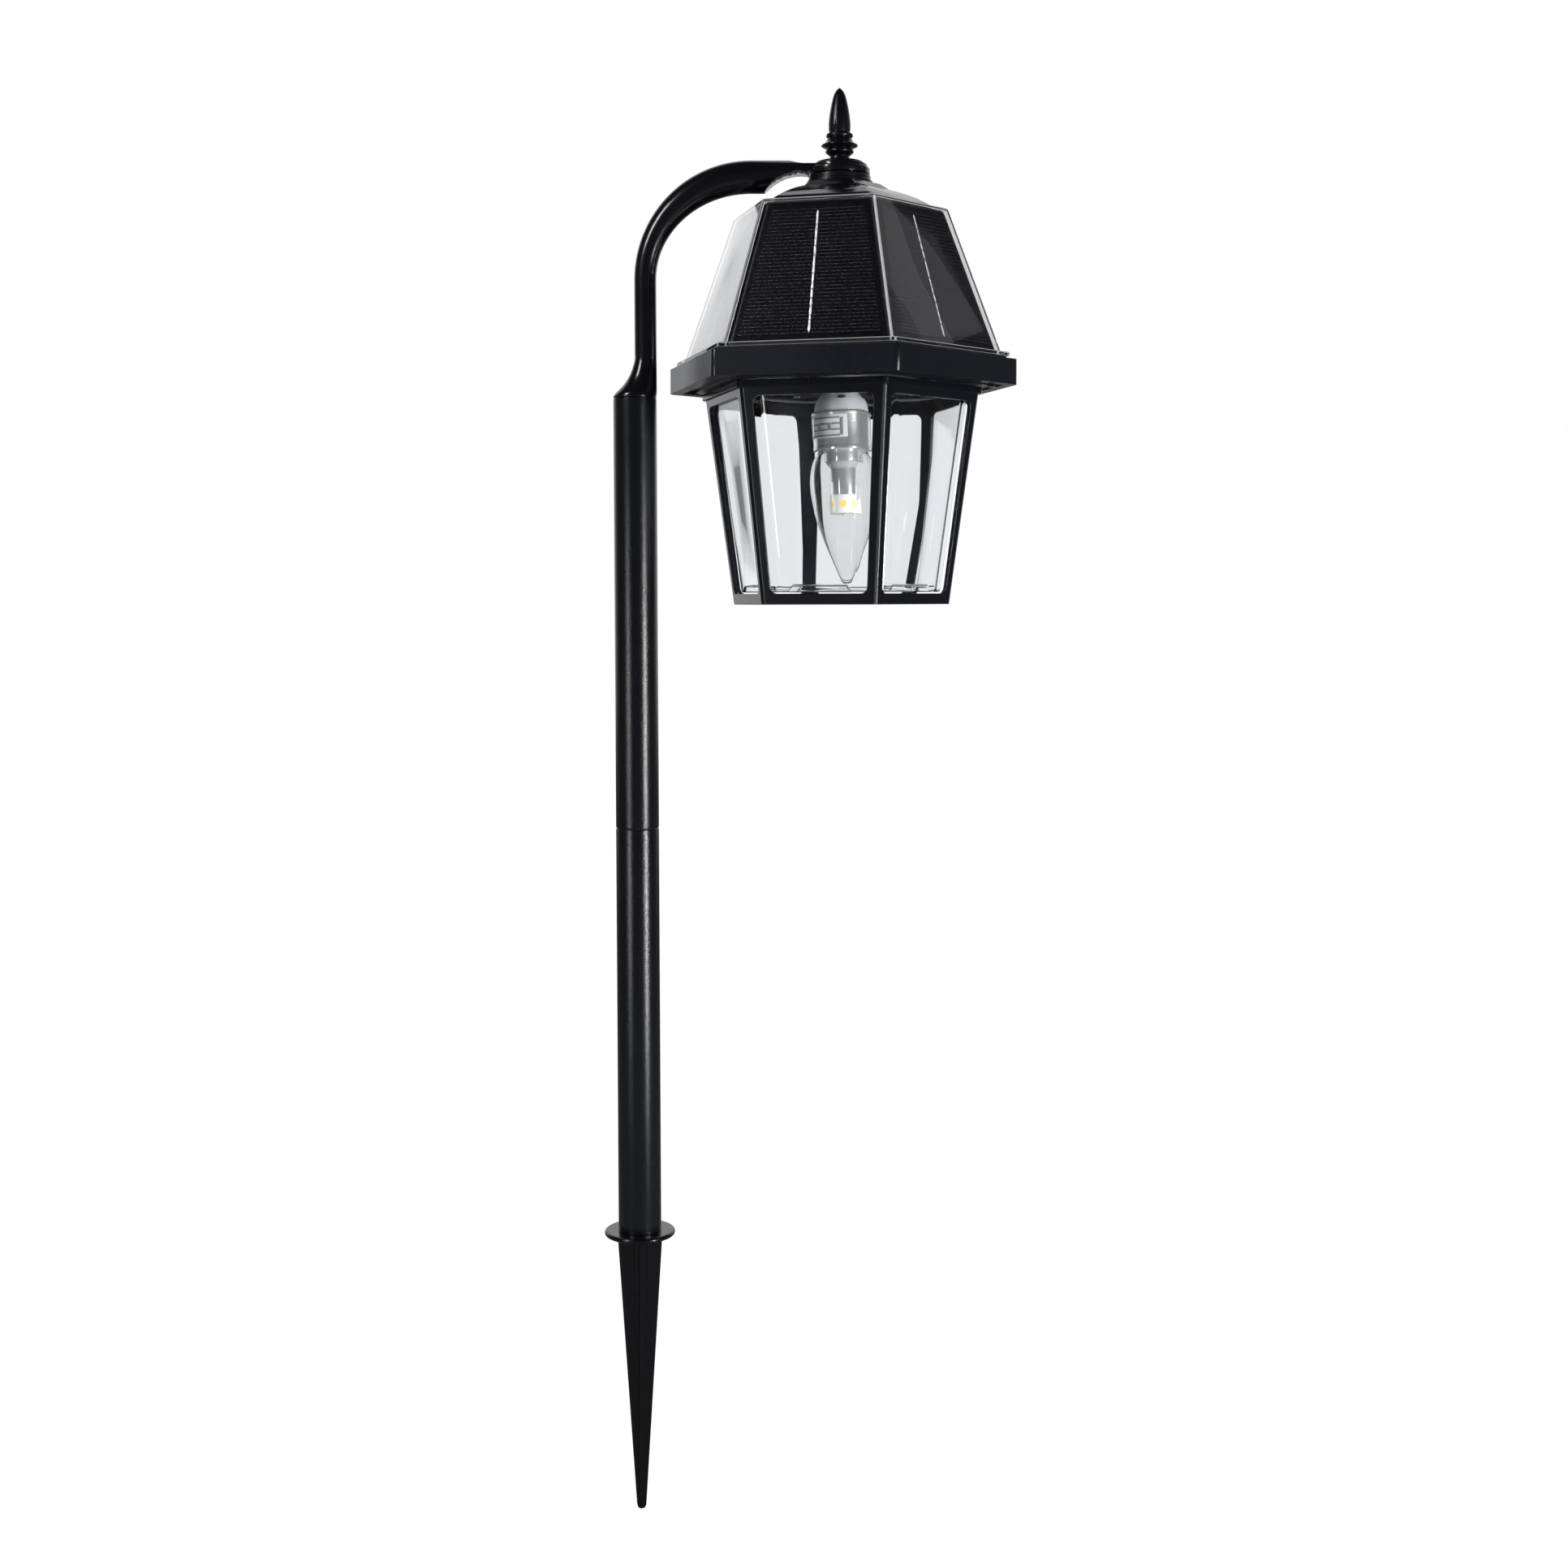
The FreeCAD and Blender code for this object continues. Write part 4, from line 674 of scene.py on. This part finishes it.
def cell_outline():
    """The cell's trapezoid as (u, v) points, its sides in from the panel's by the border."""
    roof = sizes("roof")
    tilt = roof_tilt()
    _, foot, high = cover_heights()
    margin = 1.2 * MM + roof.cell_border
    less = (roof.wall + PANEL_GAP + CELL_THICKNESS) / math.cos(tilt) / ROOT3_2
    heights = [foot + 0.4 * MM + roof.cell_border, high - 3.0 * MM - roof.cell_border]
    halves = [(cover_corner_radius(z) - less) / 2 - margin for z in heights]
    ups = [(z - foot) / math.cos(tilt) for z in heights]
    return np.array([(-halves[0], ups[0]), (halves[0], ups[0]), (halves[1], ups[1]), (-halves[1], ups[1])])


def solar_cell(k, material):
    """A thin plate with softened edges: its outline shrunk towards the middle at each row."""
    outline = filled_outline(cell_outline(), 1.0 * MM)
    line = np.array([(0.0, 0.0), (0.5, 0.0), (0.97, 0.0), (0.998, -0.05 * MM), (1.0, -0.12 * MM),
                     (1.0, -CELL_THICKNESS), (0.0, -CELL_THICKNESS)])
    plate = plate_rings(outline, line)
    grid = on_roof_side(k, plate, sizes("roof").wall + PANEL_GAP)
    make_piece(f"cell_face_{k + 1}", [grid], material, "lantern",
               [f"solar_cell_{k + 1}"], joined=False, place=[plate])


def solar_ribbon(k, material):
    """The tinned strip down the middle of a cell: a flat oval carried up the slope, with solder ripples."""
    outline = cell_outline()
    rings = 90
    up = np.linspace(outline[0, 1] + 1.0 * MM, outline[2, 1] - 1.0 * MM, rings)
    angle = np.linspace(0, 2 * math.pi, 10, endpoint=False)
    half = sizes("roof").ribbon_width / 2
    end = np.clip(np.minimum(np.arange(rings), np.arange(rings)[::-1]) / 2.0, 0, 1)[:, None]
    ripple = 1 + 0.22 * np.sin(up * 900 + k) * np.sin(up * 370 + 2 * k)
    u = end * half * np.cos(angle)[None] * ripple[:, None]
    height = 0.07 * MM + end * 0.07 * MM * np.sin(angle)[None] * ripple[:, None]
    plate = np.stack([u, np.broadcast_to(up[:, None], u.shape), height], -1)
    grid = on_roof_side(k, plate, sizes("roof").wall + PANEL_GAP)
    make_piece(f"ribbon_{k + 1}", [grid], material, "lantern", joined=False,
               place=[plate])


def liner_skin(material):
    """Clear tapered cup: one closed profile from the middle of its floor, out, up the outside, over the
    flange and down the inside, carried round the bevelled hexagon, its floor raised along each side."""
    cage = sizes("cage")
    low, high = (corner.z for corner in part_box("cage"))
    top = high - 1.5 * MM
    foot = low + cage.liner_lift
    inset = (cage.wall + cage.liner_gap) / ROOT3_2
    wall = cage.liner_wall / ROOT3_2

    def outside(height):
        share = (height - low) / (top - low)
        return cage.foot_radius + (cage.top_radius - cage.foot_radius) * share - inset

    bevel, step, thick = cage.liner_bevel, cage.liner_step, cage.liner_floor
    tiny, lip = 0.01 * MM, cage.top_radius - 1.4 * MM
    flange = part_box("liner")[1].z
    line = np.array([
        (tiny, foot, 0.0, 0.0, 0.0, 0.0),
        (outside(foot) - 13 * MM, foot, bevel * 0.6, 1.0 * MM, 0.0, 0.5 * MM),
        (outside(foot) - 11.5 * MM, foot, bevel * 0.7, 1.0 * MM, step, 0.5 * MM),
        (outside(foot), foot, bevel, 1.6 * MM, step, 1.1 * MM),
        (outside(top), top, bevel, 1.6 * MM, 0.0, 0.3 * MM),
        (lip, top, 1.6 * MM, 0.5 * MM, 0.0, 0.2 * MM),
        (lip, flange, 1.6 * MM, 0.5 * MM, 0.0, 0.5 * MM),
        (outside(top) - wall, flange, bevel - 0.6 * MM, 1.4 * MM, 0.0, 0.5 * MM),
        (outside(foot) - wall, foot + thick, bevel - 0.6 * MM, 1.4 * MM, step, 1.0 * MM),
        (outside(foot) - 12.5 * MM, foot + thick, bevel * 0.7, 1.0 * MM, step, 0.5 * MM),
        (outside(foot) - 14 * MM, foot + thick, bevel * 0.6, 1.0 * MM, 0.0, 0.5 * MM),
        (tiny, foot + thick, 0.0, 0.0, 0.0, 0.0),
    ])
    profile = eased(line[:, :5], line[:, 5], 4, closed=False)
    profile[:, 2] = np.minimum(profile[:, 2], profile[:, 0] * 0.3)
    rings = bevelled_rings(profile)
    rings[0, :, :2] = rings[-1, :, :2] = 0
    return make_piece("liner_skin", [at_lantern(rings)], material, "cage", ["liner"],
                      joined=False, sharp=24.0)


def lamp_pieces(tones):
    """The lamp below its housing: turned sleeve, neck, cone, column, drum, glass, chips and label."""
    lamp = sizes("lamp")
    sleeve_top = (lamp.drop - lamp.housing) / MM
    sleeve_foot = sleeve_top - lamp.sleeve / MM
    neck_foot = sleeve_foot - lamp.neck / MM
    cone_foot = neck_foot - lamp.cone / MM
    column_foot = cone_foot - lamp.column / MM
    drum_foot = column_foot - lamp.drum / MM
    widths = (lamp.sleeve_radius, lamp.neck_radius, lamp.column_radius, lamp.drum_radius)
    sleeve, neck, column, drum = (width / MM for width in widths)
    chrome = tones["chrome"]
    turned = [
        ("sleeve", "lamp_tube", chrome, "chrome",
         [(0, sleeve_foot, 0), (sleeve, sleeve_foot, 0.9), (sleeve, sleeve_foot + 2.2, 0.3),
          (sleeve - 0.25, sleeve_foot + 2.5, 0.2), (sleeve - 0.25, sleeve_top - 2.0, 0.2),
          (sleeve, sleeve_top - 1.7, 0.3), (sleeve, sleeve_top, 0.6), (0, sleeve_top, 0)]),
        ("neck_ring", "lamp_neck", chrome, "chrome",
         [(0, neck_foot, 0), (neck, neck_foot, 0.5), (neck, sleeve_foot, 0.2), (0, sleeve_foot, 0)]),
        ("cone", "heat_cone", tones["cone"], "cone_grey",
         [(0, cone_foot, 0), (column, cone_foot, 0.3), (neck - 0.6, neck_foot, 0.4), (0, neck_foot, 0)]),
        ("column", "led_column", chrome, "chrome",
         [(0, column_foot, 0), (column, column_foot, 0.3), (column, cone_foot, 0.3), (0, cone_foot, 0)]),
        ("drum", "led_board", tones["drum"], "led_white",
         [(0, drum_foot - 1.4, 0), (1.3, drum_foot - 1.2, 0.4), (2.2, drum_foot - 0.2, 0.3),
          (drum - 0.3, drum_foot, 0.3), (drum, drum_foot + 0.4, 0.3), (drum, column_foot, 0.4),
          (0, column_foot, 0)]),
    ]
    for name, node, tone, slot, points in turned:
        line = rows(*points)
        profile = eased(line[:, :2], line[:, 2], 4, closed=False)
        make_piece("lamp_" + name, [at_lamp(turn_about_axis(profile, 72))], tone, "lamp", [node],
                   joined=False)
    lamp_glass(tones["glass"], sleeve_foot)
    lamp_chips(tones["chip"], (drum_foot + column_foot) / 2, drum)
    lamp_label(tones["label"], sleeve, sleeve_foot + 7.0, sleeve_top - 2.4)


def smooth_line(points, count):
    """A smooth line through the points: each coordinate is the cubic blend of Catmull and Rom."""
    ends = np.concatenate([2 * points[:1] - points[1:2], points, 2 * points[-1:] - points[-2:-1]])
    t = np.linspace(0, len(points) - 1 - 1e-9, count)
    i = t.astype(int)
    s = (t - i)[:, None]
    a, b, c, d = (ends[i + n] for n in range(4))
    bend, twist = 2 * a - 5 * b + 4 * c - d, 3 * b - a - 3 * c + d
    return 0.5 * (2 * b + (c - a) * s + bend * s ** 2 + twist * s ** 3)


def lamp_glass(material, top):
    """Torpedo envelope: the outline outside from the neck to the tip and back up one wall inside."""
    lamp = sizes("lamp")
    swell, neck, wall = (v / MM for v in (lamp.glass_radius, lamp.glass_neck, lamp.glass_wall))
    reach = lamp.glass_length / MM

    def outline(less):
        wide = swell - less
        points = [(neck - less, top), (0.905 * wide, top - 7), (wide, top - 19), (0.90 * wide, top - 36),
                  (0.72 * wide, top - 48), (0.455 * wide, top - 61.5), (0.27 * wide, top - 70.5 + less / 2),
                  (0.13 * wide, top - reach + less + 1.0), (0.0, top - reach + less)]
        line = smooth_line(np.array(points), 90)
        line[:, 0] = np.maximum(line[:, 0], 0)
        line[-1, 0] = 0
        return line
    profile = np.concatenate([outline(0)[::-1], outline(wall)]) * MM
    make_piece("lamp_envelope", [at_lamp(turn_about_axis(profile, 96))], material, "lamp",
               ["lamp_glass"], joined=False, sharp=50.0)


def lamp_chips(material, height, drum):
    """Light chips round the drum: a square plate with a sunk window, bent to the drum's surface."""
    count = sizes("lamp").chips
    drum = drum * MM
    outline = filled_outline(rows((-1.7, -1.95), (1.7, -1.95), (1.7, 1.95), (-1.7, 1.95)), 0.25 * MM, 2, 2)
    line = np.array([(0.0, 0.28), (0.88, 0.28), (0.91, 0.36), (0.97, 0.4), (1.0, 0.34), (1.0, -0.3),
                     (0.0, -0.3)])
    line[:, 1] *= MM
    plate = plate_rings(outline, line)
    window = np.broadcast_to((line[:, 0] < 0.95)[:, None] & (line[:, 1] > 0)[:, None], plate.shape[:2])
    place = np.stack([plate[..., 0], plate[..., 1], window.astype(float)], -1)
    grids = []
    for k in range(count):
        angle = math.radians(-94.0 + 360.0 * k / count) + plate[..., 0] / drum
        out = drum + plate[..., 2]
        chip = np.stack([out * np.cos(angle), out * np.sin(angle), height * MM + plate[..., 1]], -1)
        grids.append(at_lamp(chip))
    make_piece("lamp_chips", grids, material, "lamp", ["led_chips"], joined=False,
               place=[place] * count)


def lamp_label(material, sleeve, low, high):
    """The label: a thin plate with round corners, wrapped round the sleeve."""
    reach = sleeve * math.radians(100)
    outline = filled_outline(rows((0, low), (reach, low), (reach, high), (0, high)), 0.8 * MM, 3, 14)
    line = np.array([(0.0, 0.12), (0.5, 0.12), (0.99, 0.12), (1.0, 0.08), (1.0, -0.1), (0.0, -0.1)])
    line[:, 1] *= MM
    plate = plate_rings(outline, line)
    angle = math.pi + plate[..., 0] / (sleeve * MM)
    out = sleeve * MM + plate[..., 2]
    grid = at_lamp(np.stack([out * np.cos(angle), out * np.sin(angle), plate[..., 1]], -1))
    make_piece("lamp_rating_label", [grid], material, "lamp", ["lamp_label"], joined=False,
               place=[plate])


# ------------------------------------------------------------------ operators
class BuildOperator(bpy.types.Operator):
    """Shared look of the building steps."""
    bl_options = {"REGISTER", "UNDO"}


class GARDENLIGHT_OT_pole(BuildOperator):
    """Build the pole's two tubes and finish the stake and the coupler"""
    bl_idname = "gardenlight.pole"
    bl_label = "Pole and stake"

    def execute(self, context):
        tones = sizes("colours")
        paint = black_finish("powder_paint", tones.paint, 0.21, 1300.0, 0.11)
        for node in ("lower_pole", "upper_pole"):
            pole_tube(node, paint)
        finish_node(["ground_stake"], black_finish("stake_black", tones.gloss, 0.19, 600.0, 0.015), 0.45)
        finish_node(["pole_coupler"], black_finish("coupler_black", tones.satin, 0.5, 800.0, 0.02), 0.15)
        return {"FINISHED"}


class GARDENLIGHT_OT_hook(BuildOperator):
    """Finish the hook arm, the hub and the finial"""
    bl_idname = "gardenlight.hook"
    bl_label = "Hook, hub and finial"

    def execute(self, context):
        tones = sizes("colours")
        gloss = black_finish("arm_gloss", tones.gloss, 0.20, 900.0, 0.012, coat=0.3)
        hub = black_finish("hub_black", tones.gloss, 0.27, 700.0, 0.015)
        finish_node(["hook_arm"], gloss, 0.35)
        finish_node(["hub_cap", "swivel_collar", "finial"], hub)
        finish_node(["hanger_stud", "stud_washer"], metal_finish("zinc", (0.55, 0.55, 0.56), 0.35))
        return {"FINISHED"}


class GARDENLIGHT_OT_roof(BuildOperator):
    """Build the clear cover and finish the cap, the core and the seal"""
    bl_idname = "gardenlight.roof"
    bl_label = "Roof"

    def execute(self, context):
        tones = sizes("colours")
        # edges=0.5 paints a pale highlight along the cover's corners, foot and top edge
        cover = cover_skin(clear_finish("clear_cover", tones.clear, 0.012, 1.49, 0.25, edges=0.5))
        cover.visible_shadow = False
        finish_node(["roof_dome"], black_finish("cap_black", tones.gloss, 0.17, 700.0, 0.015), 0.7)
        finish_node(["roof_core"], plain_finish("core_black", (0.008, 0.008, 0.009), 0.5))
        finish_node(["cover_gasket"], plain_finish("seal_foam", (0.02, 0.02, 0.02), 0.9, 1200.0, 0.2))
        return {"FINISHED"}


class GARDENLIGHT_OT_solar(BuildOperator):
    """Build the six solar cells and their ribbons"""
    bl_idname = "gardenlight.solar"
    bl_label = "Solar panels"

    def execute(self, context):
        face, tin = silicon_finish(), ribbon_finish()
        for k in range(SIDES):
            solar_cell(k, face)
            solar_ribbon(k, tin)
        backing = black_finish("panel_backing", (0.0012, 0.0012, 0.0018), 0.16, 500.0, 0.01)
        finish_node([f"solar_panel_{k + 1}" for k in range(SIDES)], backing, 0.12)
        return {"FINISHED"}


class GARDENLIGHT_OT_rim(BuildOperator):
    """Finish the rim, the ceiling, the latches and the screws"""
    bl_idname = "gardenlight.rim"
    bl_label = "Rim and ceiling"

    def execute(self, context):
        tones = sizes("colours")
        satin = black_finish("rim_black", tones.satin, 0.30, 800.0, 0.02)
        finish_node(["rim"], satin, 0.6)
        finish_node(["latch_right", "latch_left"], satin, 0.2)
        inner = black_finish("ceiling_black", tones.satin, 0.45, 700.0, 0.03)
        finish_node(["ceiling_plate", "battery_door"], inner, 0.2)
        steel = metal_finish("screw_steel", (0.5, 0.5, 0.5), 0.3)
        finish_node(["roof_screws", "door_screws", "board_screws"], steel)
        return {"FINISHED"}


class GARDENLIGHT_OT_cage(BuildOperator):
    """Finish the cage and build its clear liner"""
    bl_idname = "gardenlight.cage"
    bl_label = "Cage and liner"

    def execute(self, context):
        tones = sizes("colours")
        finish_node(["cage"], black_finish("cage_black", tones.satin, 0.19, 1400.0, 0.045), 0.4)
        liner = liner_skin(clear_finish("clear_liner", tones.clear, 0.01, 1.49, 0.10))
        liner.visible_shadow = False
        return {"FINISHED"}


class GARDENLIGHT_OT_lamp(BuildOperator):
    """Build the lamp under its housing and finish the housing, the switch and the socket"""
    bl_idname = "gardenlight.lamp"
    bl_label = "Lamp"

    def execute(self, context):
        tones = sizes("colours")
        white = plain_finish("lamp_white", tones.white, 0.32, 500.0, 0.01, spread=0.03)
        lamp_pieces({
            "chrome": metal_finish("chrome", (0.93, 0.94, 0.95), 0.12, tarnish=0.1, metallic=0.82),
            "cone": plain_finish("cone_grey", (0.36, 0.36, 0.37), 0.4, spread=0.1),
            "drum": plain_finish("drum_white", (0.82, 0.82, 0.80), 0.4, spread=0.03),
            "glass": clear_finish("lamp_clear", tones.glass, 0.004, 1.46, 0.05),
            "chip": chip_finish(),
            "label": label_finish(),
        })
        bpy.data.objects["lamp_envelope"].visible_shadow = False
        finish_node(["lamp_housing"], white, 0.2)
        finish_node(["lamp_socket"], plain_finish("socket_white", (0.7, 0.7, 0.68), 0.4, spread=0.05))
        finish_node(["mode_switch"], black_finish("switch_black", tones.satin, 0.4, 900.0, 0.01), 0.1)
        finish_node(["lamp_cap", "socket_contact"], metal_finish("brass", (0.72, 0.52, 0.22), 0.25))
        return {"FINISHED"}


class GARDENLIGHT_OT_inside(BuildOperator):
    """Finish the battery, the board and the wires inside the roof"""
    bl_idname = "gardenlight.inside"
    bl_label = "Battery and board"

    def execute(self, context):
        finish_node(["battery_cell"], plain_finish("battery_wrap", (0.05, 0.16, 0.34), 0.35, spread=0.1))
        finish_node(["battery_holder"], plain_finish("holder_black", (0.01, 0.01, 0.01), 0.5), 0.3)
        finish_node(["battery_contacts"], metal_finish("nickel", (0.6, 0.58, 0.52), 0.3))
        finish_node(["control_board"], plain_finish("board_green", (0.015, 0.11, 0.035), 0.4), 0.1)
        finish_node(["board_parts"], plain_finish("chip_black", (0.012, 0.012, 0.013), 0.45), 0.15)
        wire = plain_finish("wire_jacket", (0.35, 0.02, 0.02), 0.45)
        finish_node(["panel_leads", "battery_leads", "lamp_leads"], wire)
        return {"FINISHED"}


def area_light(name, place, aim, size, power):
    """A rectangular light at place, turned to aim and not seen by the camera."""
    data = bpy.data.lights.new(name, "AREA")
    data.shape = "RECTANGLE"
    data.size, data.size_y = size
    data.energy = power
    lamp = bpy.data.objects.new(name, data)
    lamp.location = place
    lamp.rotation_euler = (Vector(aim) - Vector(place)).to_track_quat("-Z", "Y").to_euler()
    lamp.visible_camera = False
    bpy.context.scene.collection.objects.link(lamp)


class GARDENLIGHT_OT_stage(BuildOperator):
    """Set the camera, the pale floor, the lights and the white surroundings"""
    bl_idname = "gardenlight.stage"
    bl_label = "Stage"

    def execute(self, context):
        scene = context.scene
        scene.view_settings.view_transform = "Standard"
        data = bpy.data.cameras.new("camera")
        data.sensor_width = 36.0
        data.lens = 46.14
        data.shift_y = -0.06
        data.clip_start = 0.05
        camera = bpy.data.objects.new("camera", data)
        camera.location = (0.0872, -1.1866, 0.3794)
        camera.rotation_euler = (math.radians(90 - 2.6), math.radians(0.16), 0.0)
        scene.collection.objects.link(camera)
        scene.camera = camera
        self.surroundings(scene)
        make_floor(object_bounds()[0].z - 0.5 * MM)
        for light in LIGHTS:
            area_light(*light)
        return {"FINISHED"}

    @staticmethod
    def surroundings(scene):
        """White behind everything; what is reflected falls to dark on the camera's side."""
        world = bpy.data.worlds.new("surroundings")
        scene.world = world
        tree = Tree(world)
        way = tree.node("TexCoord", output=0)
        behind = tree.part(way, 1).between(0.34, 0.80)
        height = tree.part(way, 2)
        front = 0.010 + 0.045 * (1 - height.between(0.20, 0.50))
        studio = front + behind * (0.84 + 0.17 * height.between(0.18, 0.27))
        white = tree.node("Background", None, {0: (1.0, 1.0, 1.0), 1: 1.0})
        room = tree.node("Background", None, {0: (0.97, 0.98, 1.0), 1: studio})
        shader = tree.node("MixShader", None, {0: tree.plain_view(), 1: room, 2: white})
        tree.node("OutputWorld", None, {0: shader})


def make_floor(height):
    """A round pale floor that fades into the white behind it."""
    mesh = bpy.data.meshes.new("floor")
    corners, radius = 96, 6.0
    angle = np.linspace(0, 2 * math.pi, corners, endpoint=False)
    disc = np.concatenate([radius * around(angle), np.full((corners, 1), height)], -1)
    mesh.from_pydata(disc.tolist(), [], [list(range(corners))])
    material, tree = new_material("floor_white")
    tooth = tree.spots(6.0, 3.0, 0.5)
    paper = tree.node("BsdfDiffuse", None, {0: tree.mix(tooth, (0.33, 0.33, 0.34), (0.37, 0.37, 0.38))})
    glow = tree.node("Emission", None, {0: (1.0, 1.0, 1.0), 1: 1.12})
    shader = tree.node("MixShader", None, {0: 0.9 * tree.plain_view(), 1: paper, 2: glow})
    tree.node("OutputMaterial", None, {0: shader})
    mesh.materials.append(material)
    floor = bpy.data.objects.new("floor", mesh)
    bpy.context.scene.collection.objects.link(floor)
    floor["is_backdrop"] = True


STEPS = (GARDENLIGHT_OT_pole, GARDENLIGHT_OT_hook, GARDENLIGHT_OT_roof, GARDENLIGHT_OT_solar,
         GARDENLIGHT_OT_rim, GARDENLIGHT_OT_cage, GARDENLIGHT_OT_lamp, GARDENLIGHT_OT_inside,
         GARDENLIGHT_OT_stage)


class GARDENLIGHT_PT_panel(bpy.types.Panel):
    """The building steps and the sizes they use"""
    bl_idname = "GARDENLIGHT_PT_panel"
    bl_label = "Garden Light"
    bl_space_type = "VIEW_3D"
    bl_region_type = "UI"
    bl_category = "Garden Light"

    def draw(self, context):
        for step in STEPS:
            self.layout.operator(step.bl_idname)
        for name, group in GROUPS.items():
            box = self.layout.box()
            box.label(text=group.__name__)
            for key in group.__annotations__:
                box.prop(getattr(context.scene, name), key)


def register():
    for group in GROUPS.values():
        bpy.utils.register_class(group)
    for name, group in GROUPS.items():
        setattr(bpy.types.Scene, name, PointerProperty(type=group))
    for step in STEPS + (GARDENLIGHT_PT_panel,):
        bpy.utils.register_class(step)


def unregister():
    for step in reversed(STEPS + (GARDENLIGHT_PT_panel,)):
        bpy.utils.unregister_class(step)
    for name in GROUPS:
        delattr(bpy.types.Scene, name)
    for group in GROUPS.values():
        bpy.utils.unregister_class(group)


def main():
    register()
    for step in STEPS:
        area, name = step.bl_idname.split(".")
        getattr(getattr(bpy.ops, area), name)()


if __name__ == "__main__":
    main()
